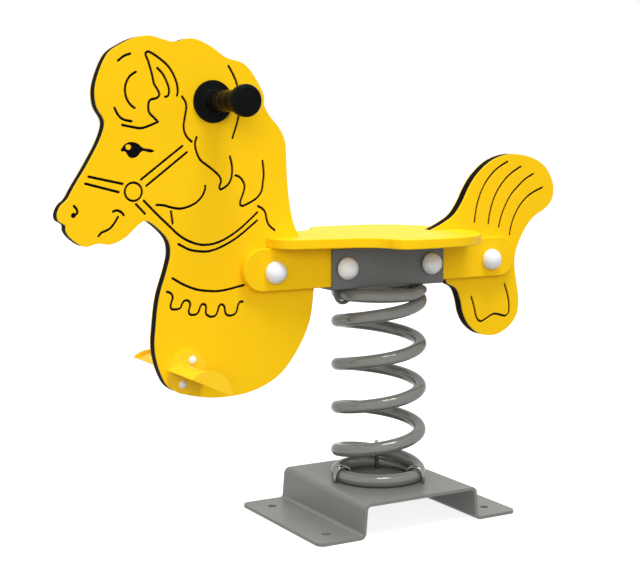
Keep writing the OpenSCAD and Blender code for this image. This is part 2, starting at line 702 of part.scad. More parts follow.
module top_bracket() {
    section = concat(
        [[-wall_y, floor_z + bracket_wall_h], [-wall_face, floor_z + bracket_wall_h]],
        arc([bracket_bend_r - wall_face, bracket_z + bracket_bend_r], bracket_bend_r, 180, 270,
            corner_steps),
        arc([wall_face - bracket_bend_r, bracket_z + bracket_bend_r], bracket_bend_r, 270, 360,
            corner_steps),
        [[wall_face, floor_z + bracket_wall_h], [wall_y, floor_z + bracket_wall_h],
         [wall_y, floor_z], [-wall_y, floor_z]]);
    color(coat_grey)
        difference() {
            translate([-bracket_len / 2, 0, 0])
                rotate([90, 0, 90])
                    linear_extrude(bracket_len)
                        polygon(section);
            for (x = [-1, 1])
                bar_y(x * bracket_bolt_x, bolt_z, -wall_face - cut, 2 * (wall_face + cut), bolt_hole_d);
            for (a = top_clamp_arcs)
                at_legs(a)
                    translate([0, 0, bracket_z - cut])
                        cylinder(d = u_rod_d + u_hole_gap, h = bracket_t + 2 * cut);
        }
}

module top_u_bolts() {
    color(zinc)
        for (a = top_clamp_arcs)
            rotate([0, 0, first_angle + a])
                translate([coil_r, 0, wire_z(a)])
                    rotate([180, 0, 0])
                        u_bolt(floor_z - wire_z(a) + u_flange_h + u_nut_h + u_tail);
}

module top_clamp_nuts() {
    color(zinc)
        for (a = top_clamp_arcs)
            at_legs(a)
                translate([0, 0, floor_z + fit_gap])
                    clamp_nut();
}

// Outline of a rail seen from the side
rail_r = rail_h / 2;
rail_mid_z = rail_z + rail_r;
rail_outline =
    concat(arc([rail_len / 2 - rail_r, rail_mid_z], rail_r, -90, 90, 4 * corner_steps),
           arc([rail_r - rail_len / 2, rail_mid_z], rail_r, 90, 270, 4 * corner_steps));

// Places the children at the seat screws of one side
module at_seat_screws(side) {
    for (s = seat_screw_shares)
        translate([s * seat_len - seat_rear, side * seat_screw_y, 0])
            children();
}

module rail(side) {
    color(yellow)
        difference() {
            prism_y(side > 0 ? rail_y : -rail_face, rail_t, rail_outline);
            for (x = [-1, 1]) {
                bar_y(x * bracket_bolt_x, bolt_z, -wall_face, 2 * wall_face, bolt_hole_d);
                bar_y(x * rail_bolt_x, bolt_z, -wall_face, 2 * wall_face, bolt_hole_d);
            }
            at_seat_screws(side)
                translate([0, 0, rail_top - seat_screw_depth])
                    cylinder(d = seat_screw_d + fit_gap, h = seat_screw_depth + cut);
        }
}

module rail_left() {
    rail(1);
}

module rail_right() {
    rail(-1);
}

seat_front = seat_len - seat_rear;
slot_w = panel_t + 2 * slot_gap;
seat_side = [
    for (p = curve(seat_outline_shares, outline_steps))
        [p[0] * seat_len - seat_rear, p[1] * seat_w / 2]
];
seat_outline =
    concat(back(seat_side), [for (i = [1 : len(seat_side) - 2]) [seat_side[i][0], -seat_side[i][1]]]);

module seat() {
    color(yellow)
        difference() {
            translate([0, 0, seat_z])
                linear_extrude(seat_t)
                    polygon(seat_outline);
            translate([head_back[0] - tongue_gap - slot_gap, -slot_w / 2, seat_z - cut])
                cube([seat_front, slot_w, seat_t + 2 * cut]);
            translate([tail_front[0] + tongue_gap + slot_gap - seat_rear, -slot_w / 2, seat_z - cut])
                cube([seat_rear, slot_w, seat_t + 2 * cut]);
            for (side = [-1, 1])
                at_seat_screws(side) {
                    translate([0, 0, seat_z - cut])
                        cylinder(d = seat_screw_d + seat_screw_gap, h = seat_t + 2 * cut);
                    translate([0, 0, seat_top - seat_plug_h - fit_gap - seat_head_h])
                        cylinder(d = seat_head_d + fit_gap, h = seat_head_h + seat_plug_h + cut);
                }
        }
}

module seat_screws() {
    head_z = seat_top - seat_plug_h - fit_gap - seat_head_h;
    tip_z = rail_top - seat_screw_depth + fit_gap;
    color(zinc)
        for (side = [-1, 1])
            at_seat_screws(side) {
                translate([0, 0, tip_z])
                    cylinder(d = seat_screw_d, h = head_z - tip_z + fit_gap);
                translate([0, 0, head_z])
                    cylinder(d = seat_head_d, h = seat_head_h);
            }
}

module seat_plugs() {
    color(yellow)
        for (side = [-1, 1])
            at_seat_screws(side)
                translate([0, 0, seat_top - seat_plug_h])
                    cylinder(d = seat_head_d, h = seat_plug_h);
}

// Holes of the head panel: rail bolts, handle rod and footrest bolts
module head_holes() {
    for (x = [bracket_bolt_x, rail_bolt_x])
        bar_y(x, bolt_z, -panel_t, 2 * panel_t, bolt_hole_d);
    bar_y(handle_x, handle_z, -panel_t, 2 * panel_t, handle_rod_d + rod_gap);
    at_foot_bolts()
        bar_y(0, 0, -panel_t, 2 * panel_t, foot_bolt_d + bolt_gap);
}

module tail_holes() {
    for (x = [bracket_bolt_x, rail_bolt_x])
        bar_y(-x, bolt_z, -panel_t, 2 * panel_t, bolt_hole_d);
}

// Left outer layer of the head with its grooves cut down to the core
module head_skin() {
    color(yellow) {
        difference() {
            prism_y(skin_y, skin_t, head_outline);
            head_holes();
            for (g = head_groove_shares)
                prism_y(skin_y - cut, skin_t + 2 * cut,
                        stroke(curve(head_pts(g), len(g) > 2 ? groove_steps : 1), groove_w));
            prism_y(skin_y - cut, skin_t + 2 * cut, head_pts(eye_shares));
            bar_y(head_pt(nostril_share)[0], head_pt(nostril_share)[1], skin_y - cut,
                  skin_t + 2 * cut, 2 * nostril_r_share * head_size);
            difference() {
                bar_y(head_pt(ring_share)[0], head_pt(ring_share)[1], skin_y - cut,
                      skin_t + 2 * cut, 2 * ring_r_share * head_size + groove_w);
                bar_y(head_pt(ring_share)[0], head_pt(ring_share)[1], skin_y - 2 * cut,
                      skin_t + 4 * cut, 2 * ring_r_share * head_size - groove_w);
            }
        }
        bar_y(head_pt(eye_spot_share)[0], head_pt(eye_spot_share)[1], skin_y, skin_t,
              2 * eye_spot_r_share * head_size);
    }
}

module head_core() {
    color(black)
        difference() {
            prism_y(-core_y, 2 * core_y, head_outline);
            head_holes();
        }
}

module head_skin_left() {
    head_skin();
}

module head_skin_right() {
    mirror([0, 1, 0])
        head_skin();
}

module tail_skin() {
    color(yellow)
        difference() {
            prism_y(skin_y, skin_t, tail_outline);
            tail_holes();
            for (g = tail_groove_shares)
                prism_y(skin_y - cut, skin_t + 2 * cut,
                        stroke(curve(tail_pts(g), groove_steps), groove_w));
        }
}

module tail_core() {
    color(black)
        difference() {
            prism_y(-core_y, 2 * core_y, tail_outline);
            tail_holes();
        }
}

module tail_skin_left() {
    tail_skin();
}

module tail_skin_right() {
    mirror([0, 1, 0])
        tail_skin();
}

// Rail bolts: place along the rider and face that the head bears on
bolt_places = [
    [bracket_bolt_x, wall_face], [-bracket_bolt_x, wall_face],
    [rail_bolt_x, rail_face], [-rail_bolt_x, rail_face]
];

module rail_bolts() {
    color(zinc)
        for (p = bolt_places) {
            seat_y = p[1] + 2 * fit_gap + washer_h;
            end_y = seat_y + bolt_head_h + bolt_tail;
            bar_y(p[0], bolt_z, -end_y, end_y + seat_y, bolt_d);
            hex_y(p[0], bolt_z, seat_y, bolt_head_h, bolt_af);
        }
}

module rail_nuts() {
    color(zinc)
        for (p = bolt_places) {
            seat_y = p[1] + 2 * fit_gap + washer_h;
            difference() {
                hex_y(p[0], bolt_z, -seat_y - bolt_head_h, bolt_head_h, bolt_af);
                bar_y(p[0], bolt_z, -seat_y - bolt_head_h - cut, bolt_head_h + 2 * cut,
                      bolt_d + fit_gap);
            }
        }
}

// Cap in its own axes: rim on Z = 0, crown up
cap_r = (cap_d * cap_d / 4 + cap_h * cap_h) / (2 * cap_h);
cap_arc = asin(cap_d / 2 / cap_r);
cap_in_r = cap_r - cap_wall;
cap_in_w = sqrt(cap_in_r * cap_in_r - pow(cap_r - cap_h, 2));
cap_in_arc = asin(cap_in_w / cap_in_r);
washer_r = sqrt(cap_in_r * cap_in_r - pow(cap_r - cap_h + cap_washer_h, 2));
washer_h = cap_lift + cap_washer_h;
module cap() {
    rotate_extrude()
        polygon(concat(arc([0, cap_h - cap_r], cap_r, 90 - cap_arc, 90, 3 * corner_steps),
                       arc([0, cap_h - cap_r], cap_in_r, 90, 90 - cap_in_arc, 3 * corner_steps)));
}

// Places the children on the outer faces at the rail bolts, with their Z pointing out
module on_rail_faces(gap) {
    for (p = bolt_places, s = [-1, 1])
        translate([p[0], s * (p[1] + gap), bolt_z])
            rotate([-90 * s, 0, 0])
                children();
}

module cap_washers() {
    color(cap_white)
        on_rail_faces(fit_gap)
            difference() {
                cylinder(d = 2 * (washer_r - cap_gap), h = washer_h);
                translate([0, 0, -cut])
                    cylinder(d = bolt_hole_d, h = washer_h + 2 * cut);
            }
}

module bolt_caps() {
    color(cap_white)
        on_rail_faces(fit_gap + cap_lift)
            cap();
}

// Handle in its own axes: flange on Z = 0, knob up
grip_end = handle_len - knob_len;
knob_rise_share = 0.54;
flange_edge_share = 0.4;
flange_r = handle_flange_d / 2;
flange_edge = handle_flange_h * flange_edge_share;
grip_r = grip_d / 2;
knob_rise = knob_len * knob_rise_share;
handle_profile = concat(
    [[0, 0], [flange_r, 0]],
    arc([flange_r - flange_edge, handle_flange_h - flange_edge], flange_edge, 0, 90, corner_steps),
    arc([grip_r + handle_root_r, handle_flange_h + handle_root_r], handle_root_r, 270, 180,
        corner_steps),
    [for (k = [0 : 2 * corner_steps])
        let (s = k / (2 * corner_steps))
        [mix(grip_r, knob_d / 2, (1 - cos(180 * s)) / 2), grip_end + knob_rise * s]],
    arc([knob_d / 2 - knob_r, handle_len - knob_r], knob_r, 0, 90, corner_steps),
    [[0, handle_len]]);

module handle() {
    color(black)
        difference() {
            rotate_extrude()
                polygon(handle_profile);
            translate([0, 0, -cut])
                cylinder(d = handle_rod_d + rod_gap, h = handle_len - handle_rod_cover + rod_gap + cut);
        }
}

module handle_left() {
    translate([handle_x, handle_y, handle_z])
        rotate([-90, 0, 0])
            handle();
}

module handle_right() {
    translate([handle_x, -handle_y, handle_z])
        rotate([90, 0, 0])
            handle();
}

module handle_rod() {
    color(zinc)
        bar_y(handle_x, handle_z, -handle_rod_len / 2, handle_rod_len, handle_rod_d);
}

// Places the children in the tilted axes of the footrests
module at_foot() {
    translate([foot_x, 0, foot_z])
        rotate([0, -foot_tilt, 0])
            children();
}

module at_foot_bolts() {
    at_foot()
        for (s = [-1, 1])
            translate([0, 0, s * foot_bolt_step / 2])
                children();
}

// Outline of the footrest's plate
foot_plate_outline =
    concat(arc([0, foot_plate_step / 2], foot_plate_r, 0, 180, 4 * corner_steps),
           arc([0, -foot_plate_step / 2], foot_plate_r, 180, 360, 4 * corner_steps));

// Moulded footrest on the left side, in the tilted axes
tread_y = foot_y + foot_plate_t;
tread_end = tread_y + foot_len;
bay_len = (foot_len - lip_t - drain_w - tread_wall) / tread_bays - tread_wall;
slot_len = foot_len - lip_t - drain_w - 2 * tread_wall;
function slot_top(x) =
    let (w = tread_w / 2, r = (w * w + tread_h * tread_h) / (2 * tread_h))
    tread_h - r + sqrt(r * r - x * x) - tread_drop;
drain_xs = [for (k = [0 : 4 * corner_steps]) mix(-drain_len / 2, drain_len / 2, k / (4 * corner_steps))];
drain_outline = concat([for (x = drain_xs) [x, slot_top(x) - drain_h]],
                       back([for (x = drain_xs) [x, slot_top(x) + cut]]));

module footrest() {
    color(yellow)
        difference() {
            union() {
                prism_y(foot_y, foot_plate_t, foot_plate_outline);
                prism_y(foot_y, foot_plate_t + foot_len - lip_t,
                        bow(tread_w / 2, tread_h, -tread_drop));
                prism_y(tread_end - lip_t, lip_t,
                        bow(tread_w / 2 + lip_over, tread_h + lip_over, -tread_drop));
            }
            for (i = [0 : tread_bays - 1])
                prism_y(tread_y + tread_wall + i * (bay_len + tread_wall), bay_len,
                        concat(bow(tread_w / 2 - tread_wall, tread_h - tread_wall, -tread_drop),
                               [[tread_wall - tread_w / 2, -tread_drop - cut],
                                [tread_w / 2 - tread_wall, -tread_drop - cut]]));
            for (i = [0 : tread_slots - 1])
                let (x = (i - (tread_slots - 1) / 2) * tread_slot_step)
                    translate([x - tread_slot_w / 2, tread_y + tread_wall, slot_top(x) - tread_slot_h])
                        cube([tread_slot_w, slot_len, tread_slot_h + tread_h]);
            prism_y(tread_end - lip_t - drain_w, drain_w, drain_outline);
            for (s = [-1, 1])
                bar_y(0, s * foot_bolt_step / 2, foot_y - cut, foot_plate_t + 2 * cut,
                      foot_bolt_d + bolt_gap);
        }
}

module footrest_left() {
    at_foot()
        footrest();
}

module footrest_right() {
    mirror([0, 1, 0])
        at_foot()
            footrest();
}

// Domed head in its own axes: flat side on Z = 0
module dome() {
    dome_r = (dome_d * dome_d / 4 + dome_h * dome_h) / (2 * dome_h);
    dome_arc = asin(dome_d / 2 / dome_r);
    rotate_extrude()
        polygon(concat([[0, 0]],
                       arc([0, dome_h - dome_r], dome_r, 90 - dome_arc, 90, 2 * corner_steps)));
}

// Height of the bolt's end inside the cap nut
nut_bore_share = 0.5;
nut_bore = dome_h * nut_bore_share;

module footrest_bolts() {
    face_y = foot_y + foot_plate_t + fit_gap;
    color(cap_white)
        at_foot_bolts() {
            bar_y(0, 0, -face_y - nut_bore, 2 * face_y + nut_bore, foot_bolt_d);
            translate([0, face_y, 0])
                rotate([-90, 0, 0])
                    dome();
        }
}

module footrest_nuts() {
    face_y = foot_y + foot_plate_t + fit_gap;
    color(cap_white)
        at_foot_bolts()
            translate([0, -face_y, 0])
                rotate([90, 0, 0])
                    difference() {
                        dome();
                        translate([0, 0, -cut])
                            cylinder(d = foot_bolt_d + fit_gap, h = nut_bore + fit_gap + cut);
                    }
}

base_plate();
base_u_bolts();
base_clamp_nuts();
coil_spring();
top_bracket();
top_u_bolts();
top_clamp_nuts();
rail_left();
rail_right();
seat();
seat_screws();
seat_plugs();
head_core();
head_skin_left();
head_skin_right();
tail_core();
tail_skin_left();
tail_skin_right();
rail_bolts();
rail_nuts();
cap_washers();
bolt_caps();
handle_left();
handle_right();
handle_rod();
footrest_left();
footrest_right();
footrest_bolts();
footrest_nuts();
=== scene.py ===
import bmesh
import bpy
import math
from mathutils import Matrix, Vector
from mathutils.geometry import intersect_line_line_2d, tessellate_polygon


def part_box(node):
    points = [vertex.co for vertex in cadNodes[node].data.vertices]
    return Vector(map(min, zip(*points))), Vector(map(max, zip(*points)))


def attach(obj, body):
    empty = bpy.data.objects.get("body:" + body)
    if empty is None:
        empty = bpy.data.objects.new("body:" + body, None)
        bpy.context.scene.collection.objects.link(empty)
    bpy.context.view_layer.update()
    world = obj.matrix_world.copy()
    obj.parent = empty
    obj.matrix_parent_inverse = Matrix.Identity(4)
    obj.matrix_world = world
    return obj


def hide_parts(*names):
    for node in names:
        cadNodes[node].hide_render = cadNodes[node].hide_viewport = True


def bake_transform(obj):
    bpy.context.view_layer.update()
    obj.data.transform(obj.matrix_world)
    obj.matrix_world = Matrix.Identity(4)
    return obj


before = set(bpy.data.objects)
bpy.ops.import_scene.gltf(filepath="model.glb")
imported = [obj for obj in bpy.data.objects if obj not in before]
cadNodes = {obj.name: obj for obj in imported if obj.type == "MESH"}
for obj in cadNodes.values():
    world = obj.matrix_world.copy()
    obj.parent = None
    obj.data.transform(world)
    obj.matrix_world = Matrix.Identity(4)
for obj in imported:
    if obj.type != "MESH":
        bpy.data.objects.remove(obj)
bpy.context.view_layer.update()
mm = 0.001
touching = 0.0005 * mm  # points closer than this are one
weld = 0.001 * mm  # the same for the corners of a solid's faces
flush = 0.002 * mm  # points this close to a plane lie in it
print("frame loaded:", len(cadNodes), "nodes")


def linear(hexCode):
    # sRGB hex to the linear colour that the shaders work in
    parts = [int(hexCode[i:i + 2], 16) / 255 for i in (1, 3, 5)]
    return tuple(c / 12.92 if c <= 0.04045 else ((c + 0.055) / 1.055) ** 2.4 for c in parts) + (1.0,)


def perMetre(size):
    # texture scale for a pattern of so many millimetres
    return 1 / (size * mm)


def addNode(tree, kind, wires=None, **settings):
    node = tree.nodes.new(kind)
    for key, value in settings.items():
        setattr(node, key, value)
    for key, value in (wires or {}).items():
        if isinstance(value, bpy.types.NodeSocket):
            tree.links.new(value, node.inputs[key])
        else:
            node.inputs[key].default_value = value
    return node


def newFinish(name, values):
    finish = bpy.data.materials.new(name)
    finish.use_nodes = True
    tree = finish.node_tree
    tree.nodes.clear()
    shader = addNode(tree, "ShaderNodeBsdfPrincipled", values)
    addNode(tree, "ShaderNodeOutputMaterial", {"Surface": shader.outputs["BSDF"]})
    place = addNode(tree, "ShaderNodeTexCoord").outputs["Object"]
    return finish, tree, shader, place


# Extruded HDPE sheet, dyed through: satin, with the fine grain that the roller embosses
# (grain drawn coarser than it is, so that it shows; a mix node's colours are its inputs 6 and 7, output 2)
sheetLook = dict(face="#FDCC14", deep="#F8C50E", cloud=160, grain=1.8, relief=0.12, depth=0.2,
                 sleek=0.38, dull=0.5)
yellowSheet, tree, shader, place = newFinish("yellow_HDPE_sheet", {"IOR": 1.54, "Specular IOR Level": 0.08})
cloud = addNode(tree, "ShaderNodeTexNoise",
                {"Vector": place, "Scale": perMetre(sheetLook["cloud"]), "Detail": 4.0})
tone = addNode(tree, "ShaderNodeMix", {0: cloud.outputs[0], 6: linear(sheetLook["face"]),
                                       7: linear(sheetLook["deep"])}, data_type="RGBA")
grain = addNode(tree, "ShaderNodeTexNoise",
                {"Vector": place, "Scale": perMetre(sheetLook["grain"]), "Detail": 2.0})
gloss = addNode(tree, "ShaderNodeMapRange", {"Value": grain.outputs[0], "To Min": sheetLook["sleek"],
                                             "To Max": sheetLook["dull"]})
bump = addNode(tree, "ShaderNodeBump", {"Height": grain.outputs[0], "Strength": sheetLook["relief"],
                                        "Distance": sheetLook["depth"] * mm})
tree.links.new(tone.outputs[2], shader.inputs["Base Color"])
tree.links.new(gloss.outputs[0], shader.inputs["Roughness"])
tree.links.new(bump.outputs[0], shader.inputs["Normal"])

# Black HDPE core with routed edges: dull, with cutter marks that run across the sheet
# (marks drawn coarser than they are, so that they show)
coreLook = dict(face="#0A0B0E", mark="#101217", pitch=1.4, stretch=0.03, relief=0.25, depth=0.15)
blackCore, tree, shader, place = newFinish(
    "black_HDPE_routed", {"IOR": 1.54, "Roughness": 0.55, "Specular IOR Level": 0.015})
across = addNode(tree, "ShaderNodeMapping", {"Vector": place, "Scale": (1.0, coreLook["stretch"], 1.0)})
marks = addNode(tree, "ShaderNodeTexNoise",
                {"Vector": across.outputs[0], "Scale": perMetre(coreLook["pitch"]), "Detail": 2.0})
tone = addNode(tree, "ShaderNodeMix", {0: marks.outputs[0], 6: linear(coreLook["face"]),
                                       7: linear(coreLook["mark"])}, data_type="RGBA")
bump = addNode(tree, "ShaderNodeBump", {"Height": marks.outputs[0], "Strength": coreLook["relief"],
                                        "Distance": coreLook["depth"] * mm})
tree.links.new(tone.outputs[2], shader.inputs["Base Color"])
tree.links.new(bump.outputs[0], shader.inputs["Normal"])

# Grey polyester powder coat on steel sheet: satin with orange peel; the second, darker copy is painted
# shade, for the channel and clamps under the seat
coatLook = dict(peel=2.2, relief=0.16, depth=0.25, cloud=60,
                tones=(("grey_powder_coat", "#7A7B76", "#72736E"),
                       ("grey_powder_coat_painted_shade", "#626463", "#5B5D5C")))
coats = []
for name, face, deep in coatLook["tones"]:
    coat, tree, shader, place = newFinish(name, {"IOR": 1.5, "Roughness": 0.4, "Specular IOR Level": 0.4})
    cloud = addNode(tree, "ShaderNodeTexNoise",
                    {"Vector": place, "Scale": perMetre(coatLook["cloud"]), "Detail": 3.0})
    tone = addNode(tree, "ShaderNodeMix",
                   {0: cloud.outputs[0], 6: linear(face), 7: linear(deep)}, data_type="RGBA")
    peel = addNode(tree, "ShaderNodeTexNoise",
                   {"Vector": place, "Scale": perMetre(coatLook["peel"]), "Detail": 1.0})
    bump = addNode(tree, "ShaderNodeBump", {"Height": peel.outputs[0], "Strength": coatLook["relief"],
                                            "Distance": coatLook["depth"] * mm})
    tree.links.new(tone.outputs[2], shader.inputs["Base Color"])
    tree.links.new(bump.outputs[0], shader.inputs["Normal"])
    coats.append(coat)
greyCoat, shadedCoat = coats

# Powder coat with aluminium flake on the spring, baked glossier: long soft orange peel, clear highlights
wireLook = dict(face="#858681", deep="#7C7D79", peel=6.0, relief=0.015, depth=0.3, cloud=45)
springCoat, tree, shader, place = newFinish(
    "glossy_powder_coat", {"Metallic": 0.3, "Roughness": 0.12, "Specular IOR Level": 0.03})
cloud = addNode(tree, "ShaderNodeTexNoise",
                {"Vector": place, "Scale": perMetre(wireLook["cloud"]), "Detail": 3.0})
tone = addNode(tree, "ShaderNodeMix", {0: cloud.outputs[0], 6: linear(wireLook["face"]),
                                       7: linear(wireLook["deep"])}, data_type="RGBA")
peel = addNode(tree, "ShaderNodeTexNoise",
               {"Vector": place, "Scale": perMetre(wireLook["peel"]), "Detail": 1.0})
bump = addNode(tree, "ShaderNodeBump", {"Height": peel.outputs[0], "Strength": wireLook["relief"],
                                        "Distance": wireLook["depth"] * mm})
tree.links.new(tone.outputs[2], shader.inputs["Base Color"])
tree.links.new(bump.outputs[0], shader.inputs["Normal"])

# Bright zinc plate: cool grey metal with a faint yellow bloom and small dull patches
zincLook = dict(face="#8F9599", bloom="#918C7E", patch=7, sleek=0.16, dull=0.34)
zincSteel, tree, shader, place = newFinish("bright_zinc_plate", {"Metallic": 1.0})
bloom = addNode(tree, "ShaderNodeTexNoise",
                {"Vector": place, "Scale": perMetre(zincLook["patch"]), "Detail": 4.0})
tone = addNode(tree, "ShaderNodeMix", {0: bloom.outputs[0], 6: linear(zincLook["face"]),
                                       7: linear(zincLook["bloom"])}, data_type="RGBA")
gloss = addNode(tree, "ShaderNodeMapRange", {"Value": bloom.outputs[0], "To Min": zincLook["sleek"],
                                             "To Max": zincLook["dull"]})
tree.links.new(tone.outputs[2], shader.inputs["Base Color"])
tree.links.new(gloss.outputs[0], shader.inputs["Roughness"])

# Moulded polyamide caps: silver-white and glossy, with a faint flow pattern from the mould
capLook = dict(face="#EAEDF0", deep="#E3E6E9", flow=14, sleek=0.12, dull=0.18)
capPlastic, tree, shader, place = newFinish(
    "white_moulded_polyamide", {"IOR": 1.53, "Specular IOR Level": 0.6})
flow = addNode(tree, "ShaderNodeTexNoise",
               {"Vector": place, "Scale": perMetre(capLook["flow"]), "Detail": 3.0})
tone = addNode(tree, "ShaderNodeMix", {0: flow.outputs[0], 6: linear(capLook["face"]),
                                       7: linear(capLook["deep"])}, data_type="RGBA")
gloss = addNode(tree, "ShaderNodeMapRange", {"Value": flow.outputs[0], "To Min": capLook["sleek"],
                                             "To Max": capLook["dull"]})
tree.links.new(tone.outputs[2], shader.inputs["Base Color"])
tree.links.new(gloss.outputs[0], shader.inputs["Roughness"])

# Moulded black polypropylene handles: polished mould, so a dark and fairly sharp reflection
# (the haze of the polish is drawn coarser than it is, so that it shows)
gripLook = dict(face="#101111", deep="#131414", haze=1.1, relief=0.015, depth=0.1, sleek=0.08, dull=0.12)
gripPlastic, tree, shader, place = newFinish(
    "black_moulded_polypropylene", {"IOR": 1.49, "Specular IOR Level": 0.024})
haze = addNode(tree, "ShaderNodeTexNoise",
               {"Vector": place, "Scale": perMetre(gripLook["haze"]), "Detail": 2.0})
tone = addNode(tree, "ShaderNodeMix", {0: haze.outputs[0], 6: linear(gripLook["face"]),
                                       7: linear(gripLook["deep"])}, data_type="RGBA")
gloss = addNode(tree, "ShaderNodeMapRange", {"Value": haze.outputs[0], "To Min": gripLook["sleek"],
                                             "To Max": gripLook["dull"]})
bump = addNode(tree, "ShaderNodeBump", {"Height": haze.outputs[0], "Strength": gripLook["relief"],
                                        "Distance": gripLook["depth"] * mm})
tree.links.new(tone.outputs[2], shader.inputs["Base Color"])
tree.links.new(gloss.outputs[0], shader.inputs["Roughness"])
tree.links.new(bump.outputs[0], shader.inputs["Normal"])

# Moulded yellow polypropylene footrests: a clearer, glossier yellow than the sheet
# (the mould's spark texture is drawn coarser than it is, so that it shows)
treadLook = dict(face="#FED02A", deep="#FAC923", flow=35, spark=0.9, relief=0.08, depth=0.1,
                 sleek=0.26, dull=0.36)
treadPlastic, tree, shader, place = newFinish(
    "yellow_moulded_polypropylene", {"IOR": 1.49, "Specular IOR Level": 0.1})
flow = addNode(tree, "ShaderNodeTexNoise",
               {"Vector": place, "Scale": perMetre(treadLook["flow"]), "Detail": 3.0})
tone = addNode(tree, "ShaderNodeMix", {0: flow.outputs[0], 6: linear(treadLook["face"]),
                                       7: linear(treadLook["deep"])}, data_type="RGBA")
spark = addNode(tree, "ShaderNodeTexNoise",
                {"Vector": place, "Scale": perMetre(treadLook["spark"]), "Detail": 1.0})
gloss = addNode(tree, "ShaderNodeMapRange", {"Value": flow.outputs[0], "To Min": treadLook["sleek"],
                                             "To Max": treadLook["dull"]})
bump = addNode(tree, "ShaderNodeBump", {"Height": spark.outputs[0], "Strength": treadLook["relief"],
                                        "Distance": treadLook["depth"] * mm})
tree.links.new(tone.outputs[2], shader.inputs["Base Color"])
tree.links.new(gloss.outputs[0], shader.inputs["Roughness"])
tree.links.new(bump.outputs[0], shader.inputs["Normal"])
print("finishes made:", len(bpy.data.materials))


def addPiece(name, verts, faces, sharpAngle=40):
    mesh = bpy.data.meshes.new(name)
    mesh.from_pydata(verts, [], faces)
    work = bmesh.new()
    work.from_mesh(mesh)
    bmesh.ops.remove_doubles(work, verts=work.verts, dist=touching)
    work.to_mesh(mesh)
    work.free()
    mesh.polygons.foreach_set("use_smooth", [True] * len(mesh.polygons))
    mesh.set_sharp_from_angle(angle=math.radians(sharpAngle))
    piece = bpy.data.objects.new(name, mesh)
    bpy.context.scene.collection.objects.link(piece)
    return piece


def evenNormals(piece):
    # large flat faces keep their own normal, so only the rounded edges shade round
    normals = piece.modifiers.new("evenNormals", "WEIGHTED_NORMAL")
    normals.keep_sharp = True


def dress(piece, finish, slotName, *replaced, body="rider"):
    piece.data.materials.clear()
    piece.data.materials.append(finish)
    if body:
        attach(piece, body)
    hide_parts(*replaced)
    return piece


def joined(parts):
    verts, faces = [], []
    for partVerts, partFaces in parts:
        start = len(verts)
        verts += partVerts
        faces += [[start + i for i in face] for face in partFaces]
    return verts, faces


def placed(part, matrix):
    return [matrix @ Vector(v) for v in part[0]], part[1]


def mergedMesh(nodeName):
    work = bmesh.new()
    work.from_mesh(cadNodes[nodeName].data)
    bmesh.ops.remove_doubles(work, verts=work.verts, dist=weld)
    return work


def faceLoops(nodeName, axis, side):
    # outlines of the flat face on one side of a node, outer ones anticlockwise, holes clockwise
    work = mergedMesh(nodeName)
    level = max(side * v.co[axis] for v in work.verts)
    # faces in the mesh's own order, so that every run gives the same outlines
    flat = dict.fromkeys(f for f in work.faces if all(level - side * v.co[axis] < flush for v in f.verts))
    follow = {}
    for face in flat:
        for corner in face.loops:
            if sum(f in flat for f in corner.edge.link_faces) == 1:
                follow[corner.vert] = corner.link_loop_next.vert
    loops = []
    while follow:
        vert = next(iter(follow))
        loop = []
        while vert in follow:
            loop.append(Vector((vert.co[(axis + 1) % 3], vert.co[(axis + 2) % 3])))
            vert = follow.pop(vert)
        loops.append(loop if side > 0 else loop[::-1])
    work.free()
    return loops


def loopArea(loop):
    return sum(a.x * b.y - a.y * b.x for a, b in zip(loop, loop[1:] + loop[:1])) / 2


def holds(loop, point):
    inside = False
    for a, b in zip(loop, loop[1:] + loop[:1]):
        if (a.y > point.y) != (b.y > point.y):
            crossing = a.x + (b.x - a.x) * (point.y - a.y) / (b.y - a.y)
            inside = inside != (point.x < crossing)
    return inside


def smoothLoop(loop, longest, corner=28, uneven=3.5, straight=0.002, most=8):
    # more points on the curved stretches of an outline; corners and long straights stay as they are
    count = len(loop)
    runs = [loop[(i + 1) % count] - loop[i] for i in range(count)]
    tangents = []
    for i in range(count):
        before, after = runs[i - 1], runs[i]
        if before.angle(after) > math.radians(corner):
            tangents.append((before.normalized(), after.normalized()))
        elif max(before.length, after.length) > uneven * min(before.length, after.length):
            longer = before if before.length > after.length else after
            tangents.append((longer.normalized(), longer.normalized()))
        else:
            mean = (before.normalized() * after.length + after.normalized() * before.length).normalized()
            tangents.append((mean, mean))
    points = []
    for i in range(count):
        a, b, run = loop[i], loop[(i + 1) % count], runs[i]
        ta, tb = tangents[i][1] * run.length, tangents[(i + 1) % count][0] * run.length
        bend = max(run.angle(ta), run.angle(tb))
        parts = max(1, min(most, round(run.length / longest))) if bend > straight else 1
        for k in range(parts):
            s = k / parts
            points.append(a * (2 * s ** 3 - 3 * s ** 2 + 1) + ta * (s ** 3 - 2 * s ** 2 + s)
                          + b * (3 * s ** 2 - 2 * s ** 3) + tb * (s ** 3 - s ** 2))
    return points


def insetLoop(loop, amount, mitre=0.35, widest=6, passes=6):
    # each point moves into the sheet along its mitre
    count = len(loop)
    moved = []
    for i in range(count):
        before = (loop[i] - loop[i - 1]).normalized()
        after = (loop[(i + 1) % count] - loop[i]).normalized()
        left = Vector((-before.y - after.y, before.x + after.x))
        moved.append(loop[i] + left * (amount / max(mitre, 1 + before.dot(after))))
    # where a tight bend crosses itself, the points of its loop meet at the crossing
    for span in range(2, widest + 1):
        for i in range(count):
            n, far, end = ((i + k) % count for k in (1, span, span + 1))
            meet = intersect_line_line_2d(moved[i], moved[n], moved[far], moved[end])
            if meet:
                for k in range(1, span + 1):
                    moved[(i + k) % count] = meet.copy()
    # a run that still points backwards shrinks to one point
    for _ in range(passes):
        for i in range(count):
            n = (i + 1) % count
            if (moved[n] - moved[i]).dot(loop[n] - loop[i]) < 0:
                moved[i] = moved[n] = (moved[i] + moved[n]) / 2
    return moved


